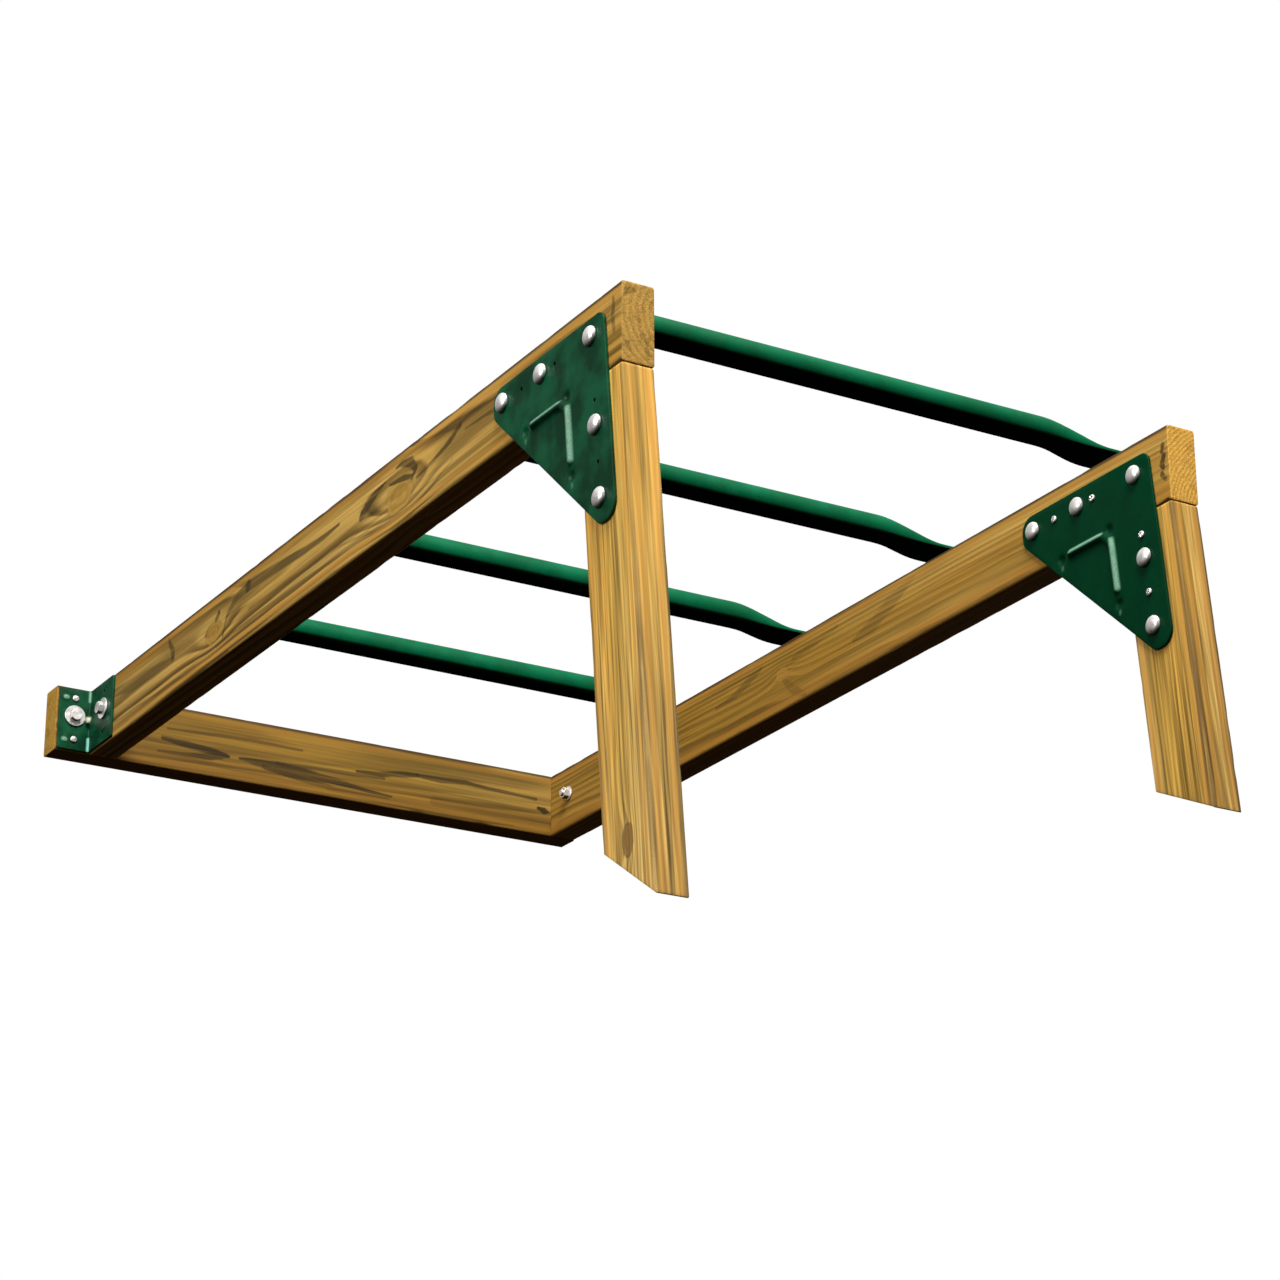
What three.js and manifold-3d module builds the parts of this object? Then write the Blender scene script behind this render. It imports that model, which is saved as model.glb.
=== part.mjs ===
import * as THREE from 'three';
import { mergeVertices } from 'three/addons/utils/BufferGeometryUtils.js';
import Module from 'manifold-3d';

const wasm = await Module();
wasm.setup();

// Ladder of monkey bars. Millimetres, +Z up, +Y towards the tower, -Y towards the climber's end.
// The origin is the middle of the cross beam's rear face, where the tower is fastened.

const GAP = 0.3;
const BOARD_T = 38.1;
const BOARD_D = 88.9;
const BOARD_EDGE_R = 3;
const OVERALL_W = 724;
const RAIL_LEN = 1368;
const BEAM_OVERHANG = 48;
const LEG_LEAN = THREE.MathUtils.degToRad(6);

// Each leg: drop from the rail's underside to the middle of its end cut, and the cut's slope.
const LEG_LEFT = { drop: 530.5, cut: THREE.MathUtils.degToRad(33.4) };
const LEG_RIGHT = { drop: 338, cut: THREE.MathUtils.degToRad(25) };

const RUNG_COUNT = 4;
const RUNG_FIRST = 115.5;
const RUNG_PITCH = 320;
const RUNG_R = 16.7;
const RUNG_WALL = 2.5;
const RUNG_INSET = 8;
const TAB_HALF_W = 25;
const TAB_HALF_T = 2.8;
const TAB_LEN = 34;
const TAPER_LEFT = 56;
const TAPER_RIGHT = 84;
const TAPER_EASE = 0.35;
const TAPER_STEPS = 4;
const RUNG_SIDES = 20;
const LAG_FROM_TUBE_END = 15;

const PLATE_T = 3;
const BOLT_LINE_Z = 4;
const CORNER_BOLT = 56;
const ARM_BOLTS = [102, 184];
const ARM_SCREWS = [74, 144];
const RIB_OFFSET = 52;
const RIB_END = 122;
const RIB_CORNER_R = 23;
const RIB_HALF_W = 8;
const RIB_H = 4;
const DIMPLE_R = 9;
const DIMPLE_DEPTH = 2.2;
const DIMPLES = [[53, 48], [140, 54], [52, 140]];

const BRACKET_H = 84;
const BRACKET_RAIL_LEAF = 78;
const BRACKET_BEAM_LEAF = 46;
const BRACKET_BOLT_Y = 49.5;
const BRACKET_BOLT_X = 24;
const BRACKET_SCREW_Z = 28;

const BOLT_R = 4.75;
const HEAD_R = 11;
const HEAD_H = 6.5;
const HEX_R = 8.25;
const NUT_H = 9.2;
const FLANGE_R = 10.5;
const FLANGE_T = 2;
const BOLT_STICK_OUT = 3;
const WASHER_R = 14;
const WASHER_T = 2;
const LAG_R = 3.95;
const LAG_LEN = 38;
const LAG_HEX_R = 7.3;
const BEAM_LAG_LEN = 32;
const SCREW_R = 2.1;
const SCREW_LEN = 25;
const SCREW_HEAD_R = 4.4;
const SCREW_HEAD_H = 2.6;
const SCREW_HOLE_R = SCREW_R + GAP;
const BOLT_HOLE_R = BOLT_R + GAP;

const HALF_W = OVERALL_W / 2;
const INNER_X = HALF_W - BOARD_T;
const BEAM_FRONT = -BOARD_T;
const RAIL_REAR = BEAM_FRONT - GAP;
const RAIL_FRONT = RAIL_REAR - RAIL_LEN;
const HALF_D = BOARD_D / 2;
const LEG_TOP = -HALF_D - GAP;
const RAIL_MID_X = HALF_W - BOARD_T / 2;

// ---------- solids ----------

function solid(geometry) {
  const bare = new THREE.BufferGeometry();
  bare.setAttribute('position', geometry.getAttribute('position'));
  if (geometry.index) bare.setIndex(geometry.index);
  const merged = mergeVertices(bare, 1e-3);
  const index = merged.index.array;
  const faces = [];
  for (let k = 0; k < index.length; k += 3) {
    const [a, b, c] = index.slice(k, k + 3);
    if (a !== b && b !== c && c !== a) faces.push(a, b, c);
  }
  return new wasm.Manifold(new wasm.Mesh({
    numProp: 3,
    vertProperties: new Float32Array(merged.getAttribute('position').array),
    triVerts: new Uint32Array(faces),
  }));
}

function geometryOf(body) {
  const mesh = body.getMesh();
  const geometry = new THREE.BufferGeometry();
  geometry.setAttribute('position', new THREE.BufferAttribute(mesh.vertProperties, 3));
  geometry.setIndex(new THREE.BufferAttribute(mesh.triVerts, 1));
  geometry.computeVertexNormals();
  return geometry;
}

function cut(body, ...tools) {
  return tools.reduce((rest, tool) => rest.subtract(tool), body);
}

function join(body, ...more) {
  return more.reduce((sum, piece) => sum.add(piece), body);
}

function box(x0, x1, y0, y1, z0, z1) {
  const geometry = new THREE.BoxGeometry(x1 - x0, y1 - y0, z1 - z0);
  geometry.translate((x0 + x1) / 2, (y0 + y1) / 2, (z0 + z1) / 2);
  return solid(geometry);
}

// A bar along X from x0 to x1 at (y, z).
function barX(x0, x1, y, z, r, sides = 16) {
  const geometry = new THREE.CylinderGeometry(r, r, x1 - x0, sides);
  geometry.rotateZ(Math.PI / 2);
  geometry.translate((x0 + x1) / 2, y, z);
  return solid(geometry);
}

function barY(y0, y1, x, z, r, sides = 16) {
  const geometry = new THREE.CylinderGeometry(r, r, y1 - y0, sides);
  geometry.translate(x, (y0 + y1) / 2, z);
  return solid(geometry);
}

function barZ(z0, z1, x, y, r, sides = 16) {
  const geometry = new THREE.CylinderGeometry(r, r, z1 - z0, sides);
  geometry.rotateX(Math.PI / 2);
  geometry.translate(x, y, (z0 + z1) / 2);
  return solid(geometry);
}

// ---------- boards ----------

function boardSection(width, depth) {
  const r = BOARD_EDGE_R;
  const x = width / 2;
  const y = depth / 2;
  const shape = new THREE.Shape();
  shape.moveTo(x, -y + r);
  shape.lineTo(x, y - r);
  shape.absarc(x - r, y - r, r, 0, Math.PI / 2);
  shape.lineTo(-x + r, y);
  shape.absarc(-x + r, y - r, r, Math.PI / 2, Math.PI);
  shape.lineTo(-x, -y + r);
  shape.absarc(-x + r, -y + r, r, Math.PI, 1.5 * Math.PI);
  shape.lineTo(x - r, -y);
  shape.absarc(x - r, -y + r, r, 1.5 * Math.PI, 2 * Math.PI);
  return shape;
}

function extruded(shape, depth, curveSegments) {
  return new THREE.ExtrudeGeometry(shape, { depth, curveSegments, bevelEnabled: false });
}

// A board on edge running along Y from y0 to y1.
function boardAlongY(xMid, y0, y1) {
  const geometry = extruded(boardSection(BOARD_T, BOARD_D), y1 - y0, 3);
  geometry.rotateX(Math.PI / 2);
  geometry.translate(xMid, y1, 0);
  return solid(geometry);
}

function rungY(i) {
  return RAIL_FRONT + RUNG_FIRST + i * RUNG_PITCH;
}

function rail(side) {
  const xMid = side * RAIL_MID_X;
  let body = boardAlongY(xMid, RAIL_FRONT, RAIL_REAR);
  const bolts = [0, ...ARM_BOLTS].map((u) => plateY(u, 0));
  bolts.push(BEAM_FRONT - BRACKET_BOLT_Y);
  for (const y of bolts) {
    body = cut(body, barX(xMid - 30, xMid + 30, y, BOLT_LINE_Z, BOLT_HOLE_R));
  }
  for (let i = 0; i < RUNG_COUNT; i += 1) {
    const bottom = lagTop() - LAG_LEN - GAP;
    body = cut(body, barZ(bottom, HALF_D + 5, side * lagX(), rungY(i), LAG_R + GAP, 12));
  }
  return body;
}

function leftRail() {
  return rail(-1);
}

function rightRail() {
  let body = rail(1);
  for (const u of ARM_SCREWS) {
    body = cut(body, barX(INNER_X - 5, INNER_X + SCREW_LEN, plateY(u, 0), BOLT_LINE_Z, SCREW_HOLE_R, 10));
  }
  return body;
}

function crossBeam() {
  const geometry = extruded(boardSection(BOARD_D, BOARD_T), OVERALL_W + BEAM_OVERHANG, 3);
  geometry.rotateY(Math.PI / 2);
  geometry.translate(-HALF_W - BEAM_OVERHANG, -BOARD_T / 2, 0);
  const x = -HALF_W - BRACKET_BOLT_X;
  const lagEnd = BEAM_FRONT + BEAM_LAG_LEN - 4;
  let body = cut(solid(geometry), barY(BEAM_FRONT - 5, lagEnd, x, BOLT_LINE_Z, BOLT_HOLE_R));
  for (const z of [-BRACKET_SCREW_Z, BRACKET_SCREW_Z]) {
    body = cut(body, barY(BEAM_FRONT - 5, BEAM_FRONT + SCREW_LEN, x, z, SCREW_HOLE_R, 10));
  }
  return body;
}

// A point on the leg's face, a distance back from its front edge and below the rail's underside.
function legY(back, z) {
  return RAIL_FRONT + back / Math.cos(LEG_LEAN) + (z - LEG_TOP) * Math.tan(LEG_LEAN);
}

function leg(side, { drop, cut: slope }) {
  const xMid = side * RAIL_MID_X;
  const geometry = extruded(boardSection(BOARD_T, BOARD_D), drop + 260, 3);
  geometry.translate(0, 0, -drop - 130);
  geometry.rotateX(-LEG_LEAN);
  geometry.translate(xMid, legY(BOARD_D / 2, LEG_TOP), LEG_TOP);
  const above = box(xMid - 50, xMid + 50, RAIL_FRONT - 200, RAIL_FRONT + 300, LEG_TOP, LEG_TOP + 300);
  const below = new THREE.BoxGeometry(100, 500, 300);
  below.translate(0, 0, -150);
  below.rotateX(slope);
  below.translate(xMid, legY(BOARD_D / 2, LEG_TOP - drop), LEG_TOP - drop);
  let body = cut(solid(geometry), above, solid(below));
  for (const v of ARM_BOLTS) {
    body = cut(body, barX(xMid - 30, xMid + 30, plateY(0, v), plateZ(v), BOLT_HOLE_R));
  }
  return body;
}

function leftLeg() {
  return leg(-1, LEG_LEFT);
}

function rightLeg() {
  let body = leg(1, LEG_RIGHT);
  for (const v of ARM_SCREWS) {
    body = cut(body, barX(INNER_X - 5, INNER_X + SCREW_LEN, plateY(0, v), plateZ(v), SCREW_HOLE_R, 10));
  }
  return body;
}

// ---------- rungs ----------

// Rises from 0 to 1 at an even slope, eased over a share of each end.
function evenRise(t, ease) {
  const bend = 2 * ease * (1 - ease);
  if (t < ease) return (t * t) / bend;
  if (t > 1 - ease) return 1 - ((1 - t) * (1 - t)) / bend;
  return (t - ease / 2) / (1 - ease);
}

// Distances from one tube end, each with how far the tube is pressed flat there (1 is flat).
function endStations(overrun, taper) {
  const stations = [[-overrun, 1], [TAB_LEN, 1]];
  for (let k = 1; k <= TAPER_STEPS; k += 1) {
    const t = k / TAPER_STEPS;
    stations.push([TAB_LEN + taper * t, 1 - evenRise(t, TAPER_EASE)]);
  }
  return stations;
}

// The same along the whole tube, from its left end. The photo shows a longer taper at the right.
function rungStations(overrun) {
  const length = 2 * (HALF_W - RUNG_INSET);
  const far = endStations(overrun, TAPER_RIGHT).map(([x, flat]) => [length - x, flat]).reverse();
  return [...endStations(overrun, TAPER_LEFT), ...far];
}

function clamp1(value) {
  return Math.min(1, Math.max(-1, value));
}

// A tube along X whose ends are pressed down onto the plane z = 0.
function pressedTube(inset, overrun) {
  const stations = rungStations(overrun);
  const ring = [];
  for (let k = 0; k < RUNG_SIDES; k += 1) {
    const angle = (2 * Math.PI * k) / RUNG_SIDES;
    ring.push(new THREE.Vector2(Math.cos(angle), Math.sin(angle)));
  }
  const steps = stations.length - 1;
  const geometry = new THREE.ExtrudeGeometry(new THREE.Shape(ring), { depth: steps, steps, bevelEnabled: false });
  const points = geometry.getAttribute('position');
  for (let k = 0; k < points.count; k += 1) {
    const [x, flat] = stations[Math.round(points.getZ(k))];
    const outerHalfW = THREE.MathUtils.lerp(RUNG_R, TAB_HALF_W, flat);
    const outerHalfT = THREE.MathUtils.lerp(RUNG_R, TAB_HALF_T, flat);
    const halfW = outerHalfW - inset;
    const halfT = outerHalfT - inset;
    const across = points.getX(k);
    const up = THREE.MathUtils.lerp(points.getY(k), clamp1(1.6 * points.getY(k)), flat);
    const y = (halfW - halfT) * clamp1(1.6 * across) + halfT * across;
    points.setXYZ(k, x, y, outerHalfT + halfT * up);
  }
  return solid(geometry);
}

function lagX() {
  return HALF_W - RUNG_INSET - LAG_FROM_TUBE_END;
}

function lagTop() {
  return HALF_D + GAP + 2 * TAB_HALF_T + GAP;
}

function rung(i) {
  const tube = cut(pressedTube(0, 0), pressedTube(RUNG_WALL, 1));
  const placed = tube.translate([-(HALF_W - RUNG_INSET), rungY(i), HALF_D + GAP]);
  const left = barZ(HALF_D - 5, HALF_D + 15, -lagX(), rungY(i), LAG_R + GAP, 12);
  const right = barZ(HALF_D - 5, HALF_D + 15, lagX(), rungY(i), LAG_R + GAP, 12);
  return cut(placed, left, right);
}

// ---------- gusset plates ----------

// Plate positions: u runs back along the rail and v down the leg, both from the corner bolt.
function plateY(u, v) {
  return RAIL_FRONT + CORNER_BOLT + u - v * Math.sin(LEG_LEAN);
}

function plateZ(v) {
  return BOLT_LINE_Z - v * Math.cos(LEG_LEAN);
}

function platePoint(u, v) {
  return new THREE.Vector2(plateY(u, v), plateZ(v));
}

// Bolt spots as [u, v]: the corner, then along the rail, then down the leg.
function gussetSpots() {
  return [[0, 0], ...ARM_BOLTS.map((u) => [u, 0]), ...ARM_BOLTS.map((v) => [0, v])];
}

function screwSpots() {
  return [...ARM_SCREWS.map((u) => [u, 0]), ...ARM_SCREWS.map((v) => [0, v])];
}

// A closed outline through [u, v, corner radius] points.
function roundedOutline(corners) {
  const shape = new THREE.Shape();
  const at = corners.map(([u, v]) => platePoint(u, v));
  corners.forEach(([, , r], k) => {
    const here = at[k];
    const toPrev = at[(k + at.length - 1) % at.length].clone().sub(here).normalize();
    const toNext = at[(k + 1) % at.length].clone().sub(here).normalize();
    const reach = r / Math.tan(Math.acos(toPrev.dot(toNext)) / 2);
    const start = here.clone().addScaledVector(toPrev, reach);
    const end = here.clone().addScaledVector(toNext, reach);
    if (k === 0) shape.moveTo(start.x, start.y);
    else shape.lineTo(start.x, start.y);
    shape.quadraticCurveTo(here.x, here.y, end.x, end.y);
  });
  shape.closePath();
  return shape;
}

function drilled(body, u, v, r, sides) {
  const centre = platePoint(u, v);
  return cut(body, barZ(-5, PLATE_T + 5, centre.x, centre.y, r, sides));
}

function plateBlank() {
  const shape = roundedOutline([
    [-27, -20.5, 13],
    [204.5, -20.5, 18],
    [204.5, 12.5, 16],
    [5, 212, 16],
    [-27, 212, 18],
  ]);
  let body = solid(extruded(shape, PLATE_T, 6));
  for (const [u, v] of gussetSpots()) body = drilled(body, u, v, BOLT_HOLE_R, 16);
  for (const [u, v] of screwSpots()) body = drilled(body, u, v, SCREW_HOLE_R, 10);
  return body;
}

// The pressed stiffening rib: an arm along the rail, a rounded corner and an arm down the leg.
function ribPath() {
  const flat = (u, v) => new THREE.Vector3(...platePoint(u, v).toArray(), 0);
  const path = new THREE.CurvePath();
  const cornerA = flat(RIB_OFFSET + RIB_CORNER_R, RIB_OFFSET);
  const cornerB = flat(RIB_OFFSET, RIB_OFFSET + RIB_CORNER_R);
  path.add(new THREE.LineCurve3(flat(RIB_END, RIB_OFFSET), cornerA));
  path.add(new THREE.QuadraticBezierCurve3(cornerA, flat(RIB_OFFSET, RIB_OFFSET), cornerB));
  path.add(new THREE.LineCurve3(cornerB, flat(RIB_OFFSET, RIB_END)));
  return path;
}

function rib(face) {
  const ring = new THREE.Shape();
  ring.absarc(0, 0, RIB_HALF_W, 0, 2 * Math.PI);
  const swept = new THREE.ExtrudeGeometry(ring, { steps: 14, curveSegments: 5, extrudePath: ribPath() });
  let body = solid(swept);
  for (const [u, v] of [[RIB_END, RIB_OFFSET], [RIB_OFFSET, RIB_END]]) {
    const end = platePoint(u, v);
    const ball = new THREE.SphereGeometry(RIB_HALF_W, 10, 6);
    ball.rotateX(Math.PI / 2);
    ball.translate(end.x, end.y, 0);
    body = join(body, solid(ball));
  }
  const low = body.scale([1, 1, RIB_H / RIB_HALF_W]).translate([0, 0, face > 0 ? PLATE_T : 0]);
  const inner = face > 0 ? [0, 0, 1] : [0, 0, -1];
  return low.trimByPlane(inner, face > 0 ? PLATE_T / 2 : -PLATE_T / 2);
}

// A shallow bowl pressed into the plate.
function dimple([u, v], face) {
  const bowl = new THREE.LatheGeometry([
    new THREE.Vector2(0, -DIMPLE_DEPTH),
    new THREE.Vector2(DIMPLE_R * 0.4, -DIMPLE_DEPTH * 0.86),
    new THREE.Vector2(DIMPLE_R * 0.72, -DIMPLE_DEPTH * 0.5),
    new THREE.Vector2(DIMPLE_R, 0),
    new THREE.Vector2(DIMPLE_R, 1),
    new THREE.Vector2(0, 1),
  ], 16);
  bowl.rotateX(face > 0 ? Math.PI / 2 : -Math.PI / 2);
  const centre = platePoint(u, v);
  bowl.translate(centre.x, centre.y, face > 0 ? PLATE_T : 0);
  return solid(bowl);
}

// face is +1 when the pressed side looks to +X and -1 when it looks to -X; x0 is the plate's low X side.
function gussetPlate(x0, face) {
  let flat = join(plateBlank(), rib(face));
  flat = cut(flat, ...DIMPLES.map((spot) => dimple(spot, face)));
  return flat.rotate([0, 90, 0]).rotate([90, 0, 0]).translate([x0, 0, 0]);
}

function leftOuterPlate() {
  return gussetPlate(-HALF_W - GAP - PLATE_T, -1);
}

function leftInnerPlate() {
  return gussetPlate(-INNER_X + GAP, 1);
}

function rightInnerPlate() {
  return gussetPlate(INNER_X - GAP - PLATE_T, -1);
}

function rightOuterPlate() {
  return gussetPlate(HALF_W + GAP, 1);
}

// ---------- corner bracket ----------

function cornerBracket() {
  const t = PLATE_T;
  const shape = new THREE.Shape();
  shape.moveTo(-GAP, -BRACKET_RAIL_LEAF);
  shape.lineTo(-GAP, -GAP - 5);
  shape.quadraticCurveTo(-GAP, -GAP, -GAP - 5, -GAP);
  shape.lineTo(-BRACKET_BEAM_LEAF, -GAP);
  shape.lineTo(-BRACKET_BEAM_LEAF, -GAP - t);
  shape.lineTo(-GAP - t - 2, -GAP - t);
  shape.quadraticCurveTo(-GAP - t, -GAP - t, -GAP - t, -GAP - t - 2);
  shape.lineTo(-GAP - t, -BRACKET_RAIL_LEAF);
  shape.closePath();
  const leaves = extruded(shape, BRACKET_H, 4);
  leaves.translate(0, 0, -BRACKET_H / 2);
  const dart = new THREE.SphereGeometry(1, 12, 8);
  dart.scale(6.4, 9, 9);
  dart.translate(-GAP - t, -GAP - t, -2);
  const room = box(-40, -GAP - 1, -40, -GAP - 1, -20, 20);
  let body = join(solid(leaves), solid(dart).intersect(room));
  body = cut(body, barX(-10, 5, -BRACKET_BOLT_Y, BOLT_LINE_Z, BOLT_HOLE_R));
  body = cut(body, barY(-10, 5, -BRACKET_BOLT_X, BOLT_LINE_Z, BOLT_HOLE_R));
  for (const z of [-BRACKET_SCREW_Z, BRACKET_SCREW_Z]) {
    body = cut(body, barX(-10, 5, -BRACKET_BOLT_Y, z, SCREW_HOLE_R, 10));
    body = cut(body, barY(-10, 5, -BRACKET_BOLT_X, z, SCREW_HOLE_R, 10));
  }
  return body.translate([-HALF_W, BEAM_FRONT, 0]);
}

// ---------- fasteners ----------

// Fasteners are turned about Y with the head's underside at y = 0 and the shank towards +Y.
function turned(profile, segments = 16) {
  const points = profile.map(([r, y]) => new THREE.Vector2(r, y));
  return solid(new THREE.LatheGeometry(points, segments));
}

function domedBolt(length) {
  return turned([
    [0, length],
    [BOLT_R, length],
    [BOLT_R, 0],
    [HEAD_R, 0],
    [HEAD_R, -1.2],
    [HEAD_R * 0.86, -HEAD_H * 0.62],
    [HEAD_R * 0.55, -HEAD_H * 0.9],
    [0, -HEAD_H],
  ].reverse());
}

function hexHeaded(length, r, hexR, hexH) {
  const shank = new THREE.CylinderGeometry(r, r, length + 1, 16);
  shank.translate(0, (length - 1) / 2, 0);
  const head = new THREE.CylinderGeometry(hexR, hexR, hexH, 6);
  head.translate(0, -hexH / 2, 0);
  return join(solid(shank), solid(head));
}

function flangeNut() {
  const flange = new THREE.CylinderGeometry(FLANGE_R, FLANGE_R, FLANGE_T, 20);
  flange.translate(0, FLANGE_T / 2, 0);
  const hex = new THREE.CylinderGeometry(HEX_R, HEX_R, NUT_H - 1, 6);
  hex.translate(0, (NUT_H + 1) / 2, 0);
  return cut(join(solid(flange), solid(hex)), barY(-5, NUT_H + 5, 0, 0, BOLT_HOLE_R));
}

function washer() {
  return cut(barY(-WASHER_T, 0, 0, 0, WASHER_R, 20), barY(-10, 10, 0, 0, BOLT_HOLE_R));
}

function panScrew() {
  return turned([
    [0, SCREW_LEN - 4],
    [SCREW_R, SCREW_LEN - 7],
    [SCREW_R, 0],
    [SCREW_HEAD_R, 0],
    [SCREW_HEAD_R * 0.8, -SCREW_HEAD_H * 0.7],
    [0, -SCREW_HEAD_H],
  ].reverse(), 12);
}

// Turn a fastener's +Y to +X, to -X or to -Z, then put it in place.
function towardsPlusX(body, x, y, z) {
  return body.rotate([0, 0, -90]).translate([x, y, z]);
}

function towardsMinusX(body, x, y, z) {
  return body.rotate([0, 0, 90]).translate([x, y, z]);
}

function downwards(body, x, y, z) {
  return body.rotate([-90, 0, 0]).translate([x, y, z]);
}

const PLATED = PLATE_T + 2 * GAP;
const GUSSET_GRIP = BOARD_T + 2 * PLATED + NUT_H + BOLT_STICK_OUT;

function gussetBolt(side, [u, v]) {
  const x = (side < 0 ? -HALF_W : INNER_X) - PLATED;
  return towardsPlusX(domedBolt(GUSSET_GRIP), x, plateY(u, v), plateZ(v));
}

function gussetNut(side, [u, v]) {
  const x = (side < 0 ? -INNER_X : HALF_W) + PLATED;
  return towardsPlusX(flangeNut(), x, plateY(u, v), plateZ(v));
}

function rungLag(side, i) {
  return downwards(hexHeaded(LAG_LEN, LAG_R, LAG_HEX_R, 5), side * lagX(), rungY(i), lagTop());
}

function plateScrew([u, v]) {
  return towardsPlusX(panScrew(), INNER_X - PLATED, plateY(u, v), plateZ(v));
}

const REAR_BOLT_Y = BEAM_FRONT - BRACKET_BOLT_Y;
const BEAM_BOLT_X = -HALF_W - BRACKET_BOLT_X;

function bracketRailBolt() {
  const grip = BOARD_T + PLATED + WASHER_T + 2 * GAP + NUT_H + BOLT_STICK_OUT;
  const x = -HALF_W - PLATED - WASHER_T - GAP;
  return towardsPlusX(hexHeaded(grip, BOLT_R, HEX_R, 6.4), x, REAR_BOLT_Y, BOLT_LINE_Z);
}

function bracketRailWasher() {
  return towardsPlusX(washer(), -HALF_W - PLATED, REAR_BOLT_Y, BOLT_LINE_Z);
}

function bracketRailNut() {
  return towardsPlusX(flangeNut(), -INNER_X + GAP, REAR_BOLT_Y, BOLT_LINE_Z);
}

function bracketBeamLag() {
  const y = BEAM_FRONT - PLATED - WASHER_T - GAP;
  return hexHeaded(BEAM_LAG_LEN, BOLT_R, HEX_R, 6.4).translate([BEAM_BOLT_X, y, BOLT_LINE_Z]);
}

function bracketBeamWasher() {
  return washer().translate([BEAM_BOLT_X, BEAM_FRONT - PLATED, BOLT_LINE_Z]);
}

function bracketScrew(z) {
  return panScrew().translate([BEAM_BOLT_X, BEAM_FRONT - PLATED, z]);
}

function rightRearBolt() {
  const grip = BOARD_T + WASHER_T + 3 * GAP + NUT_H + BOLT_STICK_OUT;
  const x = HALF_W + WASHER_T + 2 * GAP;
  return towardsMinusX(hexHeaded(grip, BOLT_R, HEX_R, 6.4), x, REAR_BOLT_Y, BOLT_LINE_Z);
}

function rightRearWasher() {
  return towardsMinusX(washer(), HALF_W + GAP, REAR_BOLT_Y, BOLT_LINE_Z);
}

function rightRearNut() {
  return towardsMinusX(flangeNut(), INNER_X - GAP, REAR_BOLT_Y, BOLT_LINE_Z);
}

// ---------- materials ----------

function timber() {
  return new THREE.MeshStandardMaterial({ color: new THREE.Color(0.66, 0.44, 0.2), roughness: 0.75 });
}

function greenPlate() {
  return new THREE.MeshStandardMaterial({ color: new THREE.Color(0.0, 0.09, 0.045), roughness: 0.45 });
}

function greenTube() {
  return new THREE.MeshStandardMaterial({ color: new THREE.Color(0.0, 0.13, 0.065), roughness: 0.35 });
}

function zinc() {
  return new THREE.MeshStandardMaterial({ color: new THREE.Color(0.75, 0.76, 0.78), metalness: 1, roughness: 0.3 });
}

// ---------- assembly ----------

const group = new THREE.Group();
group.name = 'monkey_bars';

function add(name, body, material) {
  const mesh = new THREE.Mesh(geometryOf(body), material);
  mesh.name = name;
  group.add(mesh);
}

add('rail_left', leftRail(), timber());
add('rail_right', rightRail(), timber());
add('cross_beam', crossBeam(), timber());
add('leg_left', leftLeg(), timber());
add('leg_right', rightLeg(), timber());

for (let i = 0; i < RUNG_COUNT; i += 1) {
  add(`rung_${i + 1}`, rung(i), greenTube());
  add(`rung_${i + 1}_lag_left`, rungLag(-1, i), zinc());
  add(`rung_${i + 1}_lag_right`, rungLag(1, i), zinc());
}

add('gusset_left_outer', leftOuterPlate(), greenPlate());
add('gusset_left_inner', leftInnerPlate(), greenPlate());
add('gusset_right_inner', rightInnerPlate(), greenPlate());
add('gusset_right_outer', rightOuterPlate(), greenPlate());

gussetSpots().forEach((spot, k) => {
  add(`gusset_left_bolt_${k + 1}`, gussetBolt(-1, spot), zinc());
  add(`gusset_left_nut_${k + 1}`, gussetNut(-1, spot), zinc());
  add(`gusset_right_bolt_${k + 1}`, gussetBolt(1, spot), zinc());
  add(`gusset_right_nut_${k + 1}`, gussetNut(1, spot), zinc());
});

screwSpots().forEach((spot, k) => add(`gusset_right_screw_${k + 1}`, plateScrew(spot), zinc()));

add('corner_bracket', cornerBracket(), greenPlate());
add('bracket_rail_bolt', bracketRailBolt(), zinc());
add('bracket_rail_washer', bracketRailWasher(), zinc());
add('bracket_rail_nut', bracketRailNut(), zinc());
add('bracket_beam_lag', bracketBeamLag(), zinc());
add('bracket_beam_washer', bracketBeamWasher(), zinc());
add('bracket_screw_upper', bracketScrew(BRACKET_SCREW_Z), zinc());
add('bracket_screw_lower', bracketScrew(-BRACKET_SCREW_Z), zinc());
add('rear_right_bolt', rightRearBolt(), zinc());
add('rear_right_washer', rightRearWasher(), zinc());
add('rear_right_nut', rightRearNut(), zinc());

export default group;
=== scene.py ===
"""Looks for the monkey bars: timber rails, beam and legs, green rungs, plates, bracket and fasteners.

Metres, +Z up, +Y towards the tower. Every place comes from the CAD frame's nodes.
"""

import math

import bmesh
import bpy
import numpy as np
from mathutils import Euler, Matrix, Vector, geometry, noise

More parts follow.
